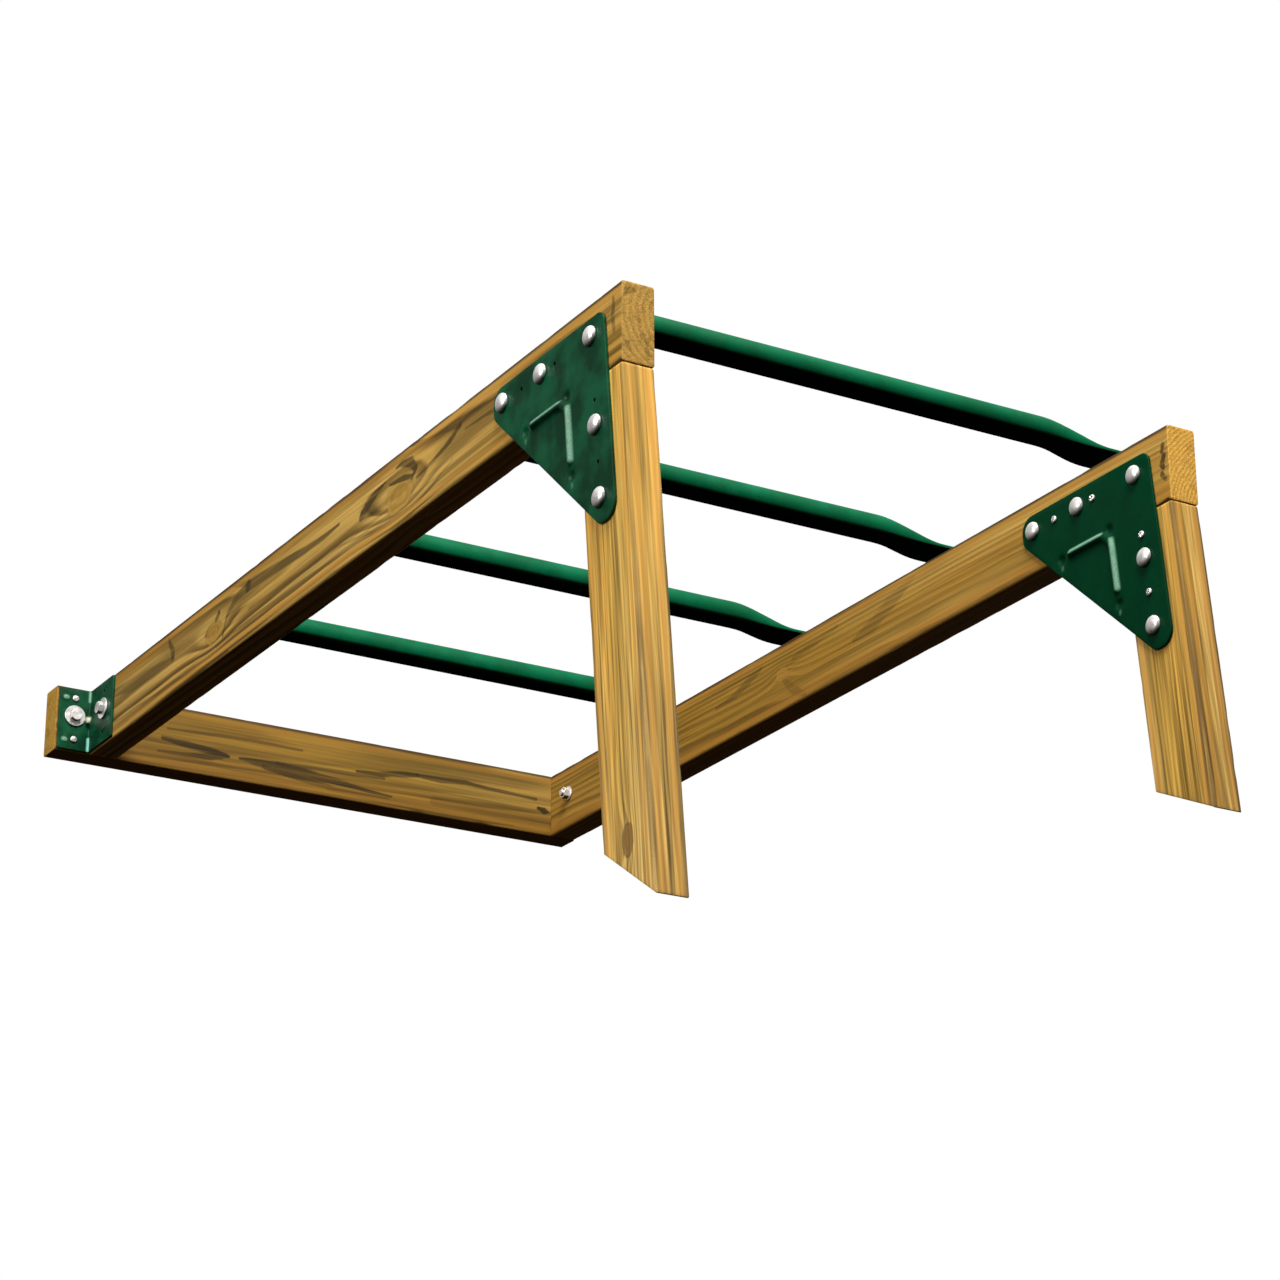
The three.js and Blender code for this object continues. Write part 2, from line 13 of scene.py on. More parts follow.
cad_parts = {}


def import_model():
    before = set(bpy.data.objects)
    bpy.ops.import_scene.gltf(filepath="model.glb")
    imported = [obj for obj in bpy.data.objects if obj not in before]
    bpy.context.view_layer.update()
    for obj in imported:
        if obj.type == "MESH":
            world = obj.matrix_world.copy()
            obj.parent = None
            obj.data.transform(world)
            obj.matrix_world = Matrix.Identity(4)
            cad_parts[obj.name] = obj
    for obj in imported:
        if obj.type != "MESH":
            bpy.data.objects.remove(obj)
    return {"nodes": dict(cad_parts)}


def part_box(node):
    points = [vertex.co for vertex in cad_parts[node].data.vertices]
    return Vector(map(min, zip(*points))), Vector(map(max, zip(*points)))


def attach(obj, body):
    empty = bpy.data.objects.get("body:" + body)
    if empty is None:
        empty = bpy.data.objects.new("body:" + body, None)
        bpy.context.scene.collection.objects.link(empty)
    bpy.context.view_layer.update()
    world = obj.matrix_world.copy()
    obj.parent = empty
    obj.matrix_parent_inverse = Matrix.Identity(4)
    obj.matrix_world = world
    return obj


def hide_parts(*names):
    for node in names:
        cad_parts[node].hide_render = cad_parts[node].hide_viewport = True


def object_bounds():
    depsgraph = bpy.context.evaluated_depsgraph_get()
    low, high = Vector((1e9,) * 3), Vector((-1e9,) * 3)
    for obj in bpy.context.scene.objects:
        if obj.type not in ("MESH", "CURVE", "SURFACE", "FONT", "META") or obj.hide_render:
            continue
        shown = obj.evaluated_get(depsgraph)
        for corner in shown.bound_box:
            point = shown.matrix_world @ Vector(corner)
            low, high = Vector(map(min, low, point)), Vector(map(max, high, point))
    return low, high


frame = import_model()
cad_box = [list(corner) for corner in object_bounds()]

MM = 0.001
GAP = 0.3 * MM
LEG_LEAN = math.radians(6)

BOARD_EDGE_R = 3 * MM
BOARD_STEP = 4 * MM
PLANED_DEPTH = 0.25 * MM
# A board's eased end as (inset, distance from the end) in millimetres, and its flat cap's rings.
END_EASING = np.array(((0.9, 0.0), (0.38, 0.12), (0.1, 0.42), (0.0, 0.95)))
CAP_SHARES = (0.86, 0.66, 0.46, 0.26, 0.08)

RUNG_R = 16.7 * MM
RUNG_WALL = 2.5 * MM
TAB_HALF_W = 25 * MM
TAB_HALF_T = 2.8 * MM
TAB_LEN = 34 * MM
TAPER_LEFT = 56 * MM
TAPER_RIGHT = 84 * MM
TAPER_EASE = 0.35
RUNG_SIDES = 56

PLATE_T = 3 * MM
RIM_R = 0.6 * MM
RIM_GAP = 1.2 * MM
COARSE_STEP = 7 * MM
CLOSE_STEP = 1.5 * MM
BOLT_LINE_Z = 4 * MM
ARM_BOLTS = (102 * MM, 184 * MM)
ARM_SCREWS = (74 * MM, 144 * MM)
RIB_OFFSET = 52 * MM
RIB_END = 122 * MM
RIB_CORNER_R = 23 * MM
RIB_HALF_W = 7.5 * MM
RIB_FLAT_HALF_W = 1.4 * MM
RIB_H = 4 * MM
DIMPLE_R = 8 * MM
DIMPLE_DEPTH = 2.4 * MM
DIMPLES = ((53 * MM, 48 * MM), (140 * MM, 54 * MM), (52 * MM, 140 * MM))
# Plate outline as (u, v, corner radius), u back along the rail and v down the leg.
PLATE_CORNERS = ((-27, -20.5, 13), (204.5, -20.5, 18), (204.5, 12.5, 16), (5, 212, 16), (-27, 212, 18))

BRACKET_BEND_R = 5 * MM
BRACKET_CORNER_R = 2.5 * MM
BRACKET_BOLT_Y = 49.5 * MM
BRACKET_BOLT_X = 24 * MM
BRACKET_SCREW_Z = 28 * MM
# Small pressed bosses as (along the leaf from its bolt, height) in millimetres.
BEAM_LEAF_BOSSES = ((12.5, 29), (12.5, -29))
RAIL_LEAF_BOSSES = ((-6, 34), (-6, -24))
BOSS_R = 3.4 * MM
BOSS_H = 0.9 * MM
DART_HALF_W = 10 * MM
DART_HALF_H = 10.5 * MM
DART_DEPTH = 5.2 * MM
DIAGONAL = 0.7071

BOLT_R = 4.75 * MM
BOLT_HOLE_R = 5.05 * MM
SCREW_HOLE_R = 2.4 * MM
HEAD_R = 11 * MM
HEAD_H = 6.5 * MM
HEX_R = 8.25 * MM
HEX_H = 6.4 * MM
NUT_H = 9.2 * MM
FLANGE_R = 10.5 * MM
FLANGE_T = 2 * MM
WASHER_R = 14 * MM
WASHER_T = 2 * MM
LAG_R = 3.95 * MM
LAG_HEX_R = 7.3 * MM
LAG_HEX_H = 5 * MM
SCREW_R = 2.1 * MM
SCREW_HEAD_R = 4.4 * MM
SCREW_HEAD_H = 2.6 * MM
THREAD_PITCH = 1.5 * MM
THREAD_DEPTH = 0.75 * MM

HOLE_SIDES = 24
TURNED_SIDES = 48
THREAD_SIDES = 32
FLAT_PER_CORNER = math.cos(math.pi / 6)

X_AXIS, Y_AXIS, Z_AXIS = Vector((1, 0, 0)), Vector((0, 1, 0)), Vector((0, 0, 1))
# Each board's own axes: along the grain, across its thickness, across its depth.
RAIL_AXES = Matrix((Y_AXIS, -X_AXIS, Z_AXIS)).transposed()
BEAM_AXES = Matrix((X_AXIS, Y_AXIS, Z_AXIS)).transposed()
LEG_UP = Vector((0, math.sin(LEG_LEAN), math.cos(LEG_LEAN)))
LEG_AXES = Matrix((LEG_UP, -X_AXIS, LEG_UP.cross(-X_AXIS))).transposed()


# ---------- pieces ----------


def smoothstep(t):
    t = np.clip(t, 0, 1)
    return t * t * (3 - 2 * t)


def add_piece(node, verts, faces, material, sharp_degrees=38):
    """A shown mesh that stands for one CAD node, with its hard edges kept sharp."""
    mesh = bpy.data.meshes.new(node + "_look")
    mesh.from_pydata([tuple(v) for v in verts], [], [tuple(f) for f in faces])
    mesh.materials.append(material)
    obj = bpy.data.objects.new(node + "_look", mesh)
    bpy.context.collection.objects.link(obj)
    finish_mesh(mesh, sharp_degrees)
    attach(obj, "root")
    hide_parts(node)
    return obj


def finish_mesh(mesh, sharp_degrees):
    bm = bmesh.new()
    bm.from_mesh(mesh)
    bmesh.ops.remove_doubles(bm, verts=bm.verts, dist=1e-7)
    bmesh.ops.recalc_face_normals(bm, faces=bm.faces)
    for face in bm.faces:
        face.smooth = True
    limit = math.radians(sharp_degrees)
    for edge in bm.edges:
        edge.smooth = len(edge.link_faces) == 2 and edge.calc_face_angle(0) < limit
    bm.to_mesh(mesh)
    bm.free()
    mesh.update()


def ring_faces(count, rings, first=0):
    """Quads between successive rings of count points each."""
    faces = []
    for j in range(rings - 1):
        a = first + j * count
        for k in range(count):
            n = (k + 1) % count
            faces.append((a + k, a + n, a + count + n, a + count + k))
    return faces


def end_caps(count, rings, first=0):
    """The two faces that close a stack of rings."""
    last = first + (rings - 1) * count
    return [tuple(range(first + count - 1, first - 1, -1)), tuple(range(last, last + count))]


def closing_faces(count, rings):
    """Quads from the last ring back to the first."""
    last = (rings - 1) * count
    return [(last + k, last + (k + 1) % count, (k + 1) % count, k) for k in range(count)]


def cut_holes(obj, cutters, sharp_degrees=38):
    """Takes a list of (start, end, radius) round holes out of a piece."""
    if not cutters:
        return
    verts, faces = [], []
    for start, end, radius in cutters:
        axis = (end - start).normalized()
        turn = axis.to_track_quat("Z", "Y").to_matrix()
        first = len(verts)
        for point in (start, end):
            for k in range(HOLE_SIDES):
                angle = 2 * math.pi * k / HOLE_SIDES
                verts.append(point + turn @ Vector((radius * math.cos(angle), radius * math.sin(angle), 0)))
        faces += ring_faces(HOLE_SIDES, 2, first) + end_caps(HOLE_SIDES, 2, first)
    mesh = bpy.data.meshes.new("cutter")
    mesh.from_pydata(verts, [], faces)
    cutter = bpy.data.objects.new("cutter", mesh)
    bpy.context.collection.objects.link(cutter)
    modifier = obj.modifiers.new("holes", "BOOLEAN")
    modifier.operation = "DIFFERENCE"
    modifier.solver = "EXACT"
    modifier.object = cutter
    bpy.context.view_layer.update()
    evaluated = obj.evaluated_get(bpy.context.evaluated_depsgraph_get())
    cut = bpy.data.meshes.new_from_object(evaluated)
    obj.modifiers.clear()
    old = obj.data
    obj.data = cut
    bpy.data.meshes.remove(old)
    bpy.data.objects.remove(cutter)
    bpy.data.meshes.remove(mesh)
    finish_mesh(cut, sharp_degrees)


def node_middle(node):
    low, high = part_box(node)
    return (low + high) / 2


# ---------- shader graphs ----------


class Graph:
    """Short names for the nodes of one material."""

    def __init__(self, name):
        self.material = bpy.data.materials.new(name)
        self.material.use_nodes = True
        self.tree = self.material.node_tree
        self.tree.nodes.clear()
        self.shader = self.tree.nodes.new("ShaderNodeBsdfPrincipled")
        output = self.tree.nodes.new("ShaderNodeOutputMaterial")
        self.tree.links.new(self.shader.outputs[0], output.inputs["Surface"])
        self.coords = self.tree.nodes.new("ShaderNodeTexCoord")

    def feed(self, socket, value):
        if isinstance(value, bpy.types.NodeSocket):
            self.tree.links.new(value, socket)
        elif socket.type == "RGBA" and len(value) == 3:
            socket.default_value = (*value, 1)
        else:
            socket.default_value = value

    def set(self, name, value):
        self.feed(self.shader.inputs[name], value)

    def math(self, operation, *values):
        node = self.tree.nodes.new("ShaderNodeMath")
        node.operation = operation
        for socket, value in zip(node.inputs, values):
            self.feed(socket, value)
        return node.outputs[0]

    def add(self, *values):
        total = values[0]
        for value in values[1:]:
            total = self.math("ADD", total, value)
        return total

    def mul(self, *values):
        product = values[0]
        for value in values[1:]:
            product = self.math("MULTIPLY", product, value)
        return product

    def vector(self, operation, a, b):
        node = self.tree.nodes.new("ShaderNodeVectorMath")
        node.operation = operation
        self.feed(node.inputs[0], a)
        self.feed(node.inputs[1], b)
        return node.outputs["Value" if operation in ("DOT_PRODUCT", "DISTANCE") else "Vector"]

    def join(self, x, y, z):
        node = self.tree.nodes.new("ShaderNodeCombineXYZ")
        for socket, value in zip(node.inputs, (x, y, z)):
            self.feed(socket, value)
        return node.outputs[0]

    def split(self, vector):
        node = self.tree.nodes.new("ShaderNodeSeparateXYZ")
        self.feed(node.inputs[0], vector)
        return node.outputs

    def noise(self, vector, scale, detail=2.0, roughness=0.5):
        node = self.tree.nodes.new("ShaderNodeTexNoise")
        self.feed(node.inputs["Vector"], vector)
        node.inputs["Scale"].default_value = scale
        node.inputs["Detail"].default_value = detail
        node.inputs["Roughness"].default_value = roughness
        return node.outputs[0]

    def random(self, value):
        node = self.tree.nodes.new("ShaderNodeTexWhiteNoise")
        node.noise_dimensions = "1D"
        self.feed(node.inputs["W"], value)
        return node.outputs["Value"]

    def span(self, value, low, high, to_low=0.0, to_high=1.0):
        """Smoothly maps low..high to to_low..to_high, held beyond them."""
        node = self.tree.nodes.new("ShaderNodeMapRange")
        node.interpolation_type = "SMOOTHSTEP"
        for socket, number in zip(node.inputs, (value, low, high, to_low, to_high)):
            self.feed(socket, number)
        return node.outputs[0]

    def ramp(self, value, stops):
        node = self.tree.nodes.new("ShaderNodeValToRGB")
        self.feed(node.inputs[0], value)
        elements = node.color_ramp.elements
        while len(elements) < len(stops):
            elements.new(0.5)
        for element, (place, color) in zip(elements, stops):
            element.position = place
            element.color = (*color, 1) if isinstance(color, tuple) else (color, color, color, 1)
        return node.outputs[0]

    def mix(self, share, a, b, blend="MIX"):
        node = self.tree.nodes.new("ShaderNodeMix")
        node.data_type = "RGBA"
        node.blend_type = blend
        self.feed(node.inputs[0], share)
        self.feed(node.inputs[6], a)
        self.feed(node.inputs[7], b)
        return node.outputs[2]

    def bump(self, height, distance, strength):
        node = self.tree.nodes.new("ShaderNodeBump")
        node.inputs["Strength"].default_value = strength
        node.inputs["Distance"].default_value = distance
        self.feed(node.inputs["Height"], height)
        return node.outputs[0]

    def about(self, noise_value, swing):
        """A noise moved to swing either side of zero."""
        return self.mul(self.math("SUBTRACT", noise_value, 0.5), swing)

    def length(self, a, b):
        return self.math("SQRT", self.add(self.mul(a, a), self.mul(b, b)))

    def from_line(self, spot, near, far):
        """How far along a line a spot is, from 0 to 1, and its distance from that line."""
        run = far - near
        from_near = self.vector("SUBTRACT", spot, near[:])
        share = self.math("DIVIDE", self.vector("DOT_PRODUCT", from_near, run[:]), run.length_squared)
        share = self.math("MINIMUM", self.math("MAXIMUM", share, 0.0), 1.0)
        nearest = self.join(*(self.mul(share, part) for part in run))
        return share, self.vector("DISTANCE", from_near, nearest)

    def facing_down(self):
        """1 where the surface looks straight down, -1 where it looks up."""
        return self.mul(self.split(self.coords.outputs["Normal"])[2], -1.0)


# ---------- timber ----------

GOLD = (0.52, 0.290, 0.046)
TAN = (0.68, 0.425, 0.120)
ORANGE = (0.62, 0.290, 0.045)
LATE_BROWN = (0.130, 0.072, 0.010)
OLIVE_DARK = (0.055, 0.034, 0.008)
KNOT_ORANGE = (0.64, 0.345, 0.075)
KNOT_GOLD = (0.55, 0.310, 0.062)
KNOT_BROWN = (0.200, 0.092, 0.022)
EDGE_BROWN = (0.060, 0.026, 0.008)


def bell(g, x, z, at, half_x, half_z):
    """A soft oval mark, 1 at its middle, on the plane along and across the grain."""
    dx = g.math("DIVIDE", g.math("SUBTRACT", x, at[0]), half_x)
    dz = g.math("DIVIDE", g.math("SUBTRACT", z, at[1]), half_z)
    squares = g.add(g.mul(dx, dx), g.mul(dz, dz))
    return g.math("EXPONENT", g.mul(squares, -1.0))


def stroke(g, spot, points):
    """A mark along a line of (along, across, half width) points, 1 inside it and 0 outside."""
    mark = None
    for (ax, az, wide_a), (bx, bz, wide_b) in zip(points, points[1:]):
        share, distance = g.from_line(spot, Vector((ax, az, 0)), Vector((bx, bz, 0)))
        reach = g.math("DIVIDE", distance, g.add(g.mul(share, wide_b - wide_a), wide_a))
        here = g.span(reach, 0.65, 1.25, 1.0, 0.0)
        mark = here if mark is None else g.math("MAXIMUM", mark, here)
    return mark


def board_coords(g, axes, centre):
    """Positions in the board's own axes, from its middle."""
    mapping = g.tree.nodes.new("ShaderNodeMapping")
    mapping.vector_type = "TEXTURE"
    mapping.inputs["Location"].default_value = centre
    mapping.inputs["Rotation"].default_value = axes.to_euler()
    g.feed(mapping.inputs["Vector"], g.coords.outputs["Object"])
    return mapping.outputs[0]


def growth_rings(g, place, along, broad, fine, look):
    """How late in its year the wood is, from 0 to 1, and how dark that makes it."""
    x, y, z = place
    pith_y, pith_z = look["pith"]
    tilt_y, tilt_z = look["tilt"]
    off_y = g.math("SUBTRACT", y, g.add(g.mul(x, tilt_y), pith_y))
    off_z = g.math("SUBTRACT", z, g.add(g.mul(x, tilt_z), pith_z))
    radius = g.add(g.length(off_y, off_z), g.about(broad, look["warp"]), g.about(fine, 0.005))
    for at, size in look["knots"]:
        pushed = g.mul(bell(g, x, z, at, size * 3.4, size * 1.4), size * 0.7)
        radius = g.math("SUBTRACT", radius, pushed)
    turns = g.math("DIVIDE", radius, look["spacing"])
    phase = g.math("FRACT", turns)
    ring = g.random(g.math("FLOOR", turns))
    late = g.ramp(phase, ((0.0, 0.0), (0.26, 0.12), (0.58, 0.85), (0.84, 1.0), (0.95, 0.4), (1.0, 0.0)))
    patch = g.noise(along, 22, 3, 0.6)
    depth = g.mul(g.span(ring, 0.0, 1.0, 0.55, 1.0), g.span(patch, 0.34, 0.60, 0.6, 1.0))
    return late, g.mul(late, depth, look["contrast"])


def streaked(g, color, noise_value, narrow, dark, light):
    """The colour made darker and lighter along fine streaks."""
    low, high = narrow
    stops = ((low, 1 - dark), (0.50, 1.0), (high, 1 + light))
    return g.mix(1.0, color, g.ramp(noise_value, stops), "MULTIPLY")


def knot_marks(g, color, place, seeded, look):
    x, _, z = place
    for at, size in look["knots"]:
        dx = g.mul(g.math("SUBTRACT", x, at[0]), 0.62)
        reach = g.length(dx, g.math("SUBTRACT", z, at[1]))
        reach = g.add(reach, g.about(g.noise(seeded, 70, 2), size * 0.6))
        eye = g.span(reach, size * 0.75, size * 1.05, 1.0, 0.0)
        wheel = g.math("SINE", g.math("DIVIDE", reach, size * 0.075))
        heart = g.mix(g.span(wheel, -1.0, 1.0, 0.0, 0.22), look["knot_tone"], LATE_BROWN)
        color = g.mix(g.mul(eye, 0.8), color, heart)
        inner = g.span(reach, size * 0.80, size * 0.95)
        outer = g.span(reach, size * 0.98, size * 1.2, 1.0, 0.0)
        color = g.mix(g.mul(inner, outer, look["rim"]), color, OLIVE_DARK)
    return color


def edge_marks(g, color, place, half, fine, look):
    """Eased long edges: a brown line on the upper round, then a clean orange strip on the face."""
    _, y, z = place
    from_y = g.math("SUBTRACT", half[0], g.math("ABSOLUTE", y))
    from_z = g.math("SUBTRACT", half[1], g.math("ABSOLUTE", z))
    edge = g.add(g.math("MAXIMUM", from_y, from_z), g.about(fine, 0.004))
    strip = g.mul(g.span(edge, 0.0050, 0.0075), g.span(edge, 0.0095, 0.0150, 1.0, 0.0))
    color = g.mix(g.mul(strip, 0.6), color, ORANGE)
    upper = g.span(z, 0.0, half[1] * 0.6, 0.15, look["outline"])
    return g.mix(g.mul(g.span(edge, 0.0026, 0.0068, 1.0, 0.0), upper), color, EDGE_BROWN)


def end_grain(g, seeded, late, pores, look):
    """The same rings seen end on, duller and blotched, with open pores."""
    blotch = g.noise(seeded, 60, 4, 0.65)
    tone = g.mix(g.span(blotch, 0.36, 0.50, look["blotch"], 0.0), look["end_tone"], LATE_BROWN)
    tone = g.mix(g.mul(late, 0.28), tone, LATE_BROWN)
    return streaked(g, tone, pores, (0.32, 0.70), 0.28, 0.15)


def timber(name, axes, centre, half, look):
    """Softwood whose growth rings are cylinders round a pith line, bent round the knots."""
    g = Graph(name)
    local = board_coords(g, axes, centre)
    place = g.split(local)
    x, _, z = place
    seeded = g.vector("ADD", local, (look["seed"] * 3.7, look["seed"] * 1.3, look["seed"] * 2.1))
    along = g.vector("MULTIPLY", seeded, (0.09, 1.0, 1.0))
    fibre = g.vector("MULTIPLY", seeded, (0.02, 1.0, 1.0))
    broad = g.noise(along, 13, 2)
    fine = g.noise(along, 55, 3)
    streaks = g.noise(fibre, 260, 2, 0.6)

    late, late_share = growth_rings(g, place, along, broad, fine, look)
    tone = g.mix(g.span(g.noise(along, 9, 2), 0.38, 0.62), GOLD, TAN)
    tone = g.mix(g.mul(g.span(g.noise(fibre, 34, 2), 0.46, 0.66), 0.5), tone, ORANGE)
    color = g.mix(late_share, tone, LATE_BROWN)
    color = streaked(g, color, streaks, (0.32, 0.68), look["hair"], look["hair"] * 0.8)
    bands = g.noise(fibre, 75, 2, 0.6)
    color = streaked(g, color, bands, (0.34, 0.66), look["streak"], look["streak"] * 0.6)
    color = knot_marks(g, color, place, seeded, look)

    ragged = g.add(g.about(fine, 0.009), g.about(streaks, 0.005))
    spot = g.join(g.add(x, g.about(broad, 0.03)), g.add(z, ragged), 0.0)
    grain_cut = g.span(g.noise(fibre, 190, 2), 0.36, 0.52, 0.62, 1.0)
    for share, points in look["strokes"]:
        color = g.mix(g.mul(stroke(g, spot, points), grain_cut, share), color, OLIVE_DARK)
    color = edge_marks(g, color, place, half, fine, look)

    facing = g.math("ABSOLUTE", g.vector("DOT_PRODUCT", g.coords.outputs["Normal"], axes.col[0][:]))
    end = g.span(facing, 0.62, 0.80)
    pores = g.noise(seeded, 420, 3, 0.65)
    color = g.mix(end, color, end_grain(g, seeded, late, pores, look))
    g.set("Base Color", g.mix(1.0, color, look["tint"], "MULTIPLY"))
    g.set("Roughness", g.span(g.add(streaks, g.mul(late_share, -0.3)), 0.1, 0.8, 0.52, 0.76))
    height = g.add(g.mul(streaks, 0.55), g.mul(late_share, 0.5), g.mul(end, pores, 1.2))
    g.set("Normal", g.bump(height, 0.0006, 0.6))
    g.shader.inputs["Specular IOR Level"].default_value = 0.22
    return g.material


def slanted_ends(local, low, high):
    """A function that gives where a board ends, at side -1 or 1 and height z from its middle."""
    half_z = (high[2] - low[2]) / 2
    rear = local[np.abs(local[:, 2] - low[2]) < 1e-5][:, 0]
    front = local[np.abs(local[:, 2] - high[2]) < 1e-5][:, 0]

    def end_x(side, z):
        pick = np.min if side < 0 else np.max
        share = (z + half_z) / (2 * half_z)
        return pick(rear) + (pick(front) - pick(rear)) * share

    return end_x


def board_rows(points, normals, end_x, half_y, half_z, end_ease):
    """Sections along a board, with eased ends and flat caps: [(section points, x of each)]."""
    x0, x1 = end_x(-1, points[:, 1]), end_x(1, points[:, 1])
    steps = int(np.ceil((x1 - x0).max() / BOARD_STEP))
    rows = [(points - normals * inset * MM, x0 + dx * MM) for inset, dx in END_EASING]
    for share in np.linspace(0, 1, steps + 1)[1:-1]:
        rows.append((points, x0 + (x1 - x0) * share))
    far_easing = END_EASING[::-1] * end_ease
    rows += [(points - normals * inset * MM, x1 - dx * MM) for inset, dx in far_easing]

    spine = np.zeros_like(points)
    spine[:, 1] = np.clip(points[:, 1], half_y - half_z, half_z - half_y)
    caps = []
    for side, (rim, _) in ((-1, rows[0]), (1, rows[-1])):
        shrunk = [spine + (rim - spine) * share for share in CAP_SHARES]
        caps.append([(inner, end_x(side, inner[:, 1])) for inner in shrunk])
    return caps[0][::-1] + rows + caps[1]


def board(node, axes, look):
    """A planed board that fills its CAD node, with worn edges; boards() cuts its bolt holes afterwards."""
    inverse = axes.transposed()
    local = np.array([inverse @ v.co for v in frame["nodes"][node].data.vertices])
    low, high = local.min(0), local.max(0)
    middle = (low + high) / 2
    half_y, half_z = (high[1:] - low[1:]) / 2
    end_x = slanted_ends(local, low, high)
    ring = section(half_y, half_z)
    count = len(ring)
    points, normals = ring[:, :2], ring[:, 2:]
    rows = board_rows(points, normals, end_x, half_y, half_z, look["end_ease"])
    verts = []
    for section_points, xs in rows:
        verts += [(x, y + middle[1], z + middle[2]) for (y, z), x in zip(section_points, xs)]
    verts = np.array(verts)

    slants = [(end_x(side, half_z) - end_x(side, -half_z)) / (2 * half_z) for side in (-1, 1)]
    cap_rows = len(CAP_SHARES)
    for j in range(cap_rows, len(rows) - cap_rows):
        slant = slants[0] if j < len(rows) / 2 else slants[1]
        for k in range(count):
            p = verts[j * count + k]
            shift = normals[k] * relief(p, points[k], half_y, half_z, look)
            p -= (shift[1] * slant, *shift)

    centre = axes @ Vector(middle)
    world = [axes @ Vector(v) for v in verts]
    faces = ring_faces(count, len(rows)) + end_caps(count, len(rows))
    material = timber(node + "_timber", axes, centre, (half_y, half_z), place_look(look, axes, centre))
    return add_piece(node, world, faces, material)


def section(half_y, half_z):
    """Points round a board's section with its corners eased, each as (y, z, outward y, outward z)."""
    rows = []
    r = BOARD_EDGE_R
    for quarter, (sy, sz) in enumerate(((1, 1), (-1, 1), (-1, -1), (1, -1))):
        for k in range(7):
            angle = math.pi / 2 * (quarter + k / 6)
            out = (math.cos(angle), math.sin(angle))
            rows.append((sy * (half_y - r) + out[0] * r, sz * (half_z - r) + out[1] * r, *out))
        flat = 2 * ((half_y if quarter % 2 == 0 else half_z) - r)
        count = int(flat / BOARD_STEP)
        start = np.array(rows[-1])
        step = flat / count * np.array((-out[1], out[0]))
        for k in range(1, count):
            rows.append((*(start[:2] + step * k), *start[2:]))
    return np.array(rows)


def relief(p, section_point, half_y, half_z, look):
    """How far the planed surface lies inside the CAD face, with dents along the eased edges."""
    seed = look["seed"] * 7.3
    wave = noise.noise(Vector((p[0] * 5, p[1] * 40 + seed, p[2] * 40)))
    inward = PLANED_DEPTH * (0.5 + 0.5 * wave)
    corner = max(half_y - abs(section_point[0]), half_z - abs(section_point[1]))
    if corner < BOARD_EDGE_R:
        side = (section_point[0] > 0) * 3.1 + (section_point[1] > 0) * 5.7
        dent = noise.noise(Vector((p[0] * 30, side, seed)))
        inward += max(0.0, dent - 0.18) * 2.2 * MM * (1 - corner / BOARD_EDGE_R)
    return inward


def place_look(look, axes, centre):
    """The board's marks, read in the row frame's millimetres, moved to its own along and across."""
    middle_x, middle_z = centre.dot(axes.col[0]), centre.dot(axes.col[2])

    def place(along, across):
        return (along * MM - middle_x, across * MM - middle_z)

    knots = [(place(*at), size * MM) for at, size in look["knots"]]
    strokes = [
        (share, [(*place(along, across), half_wide * MM) for along, across, half_wide in points])
        for share, points in look["strokes"]
    ]
    pith = tuple(value * MM for value in look["pith"])
    lengths = {key: look[key] * MM for key in ("spacing", "warp")}
    return {**look, **lengths, "pith": pith, "knots": knots, "strokes": strokes}


LEG_LOOK = {
    "end_ease": 2.6, "warp": 9, "contrast": 0.62, "knot_tone": KNOT_BROWN, "blotch": 0.4,
    "end_tone": (0.58, 0.320, 0.066), "strokes": (),
}
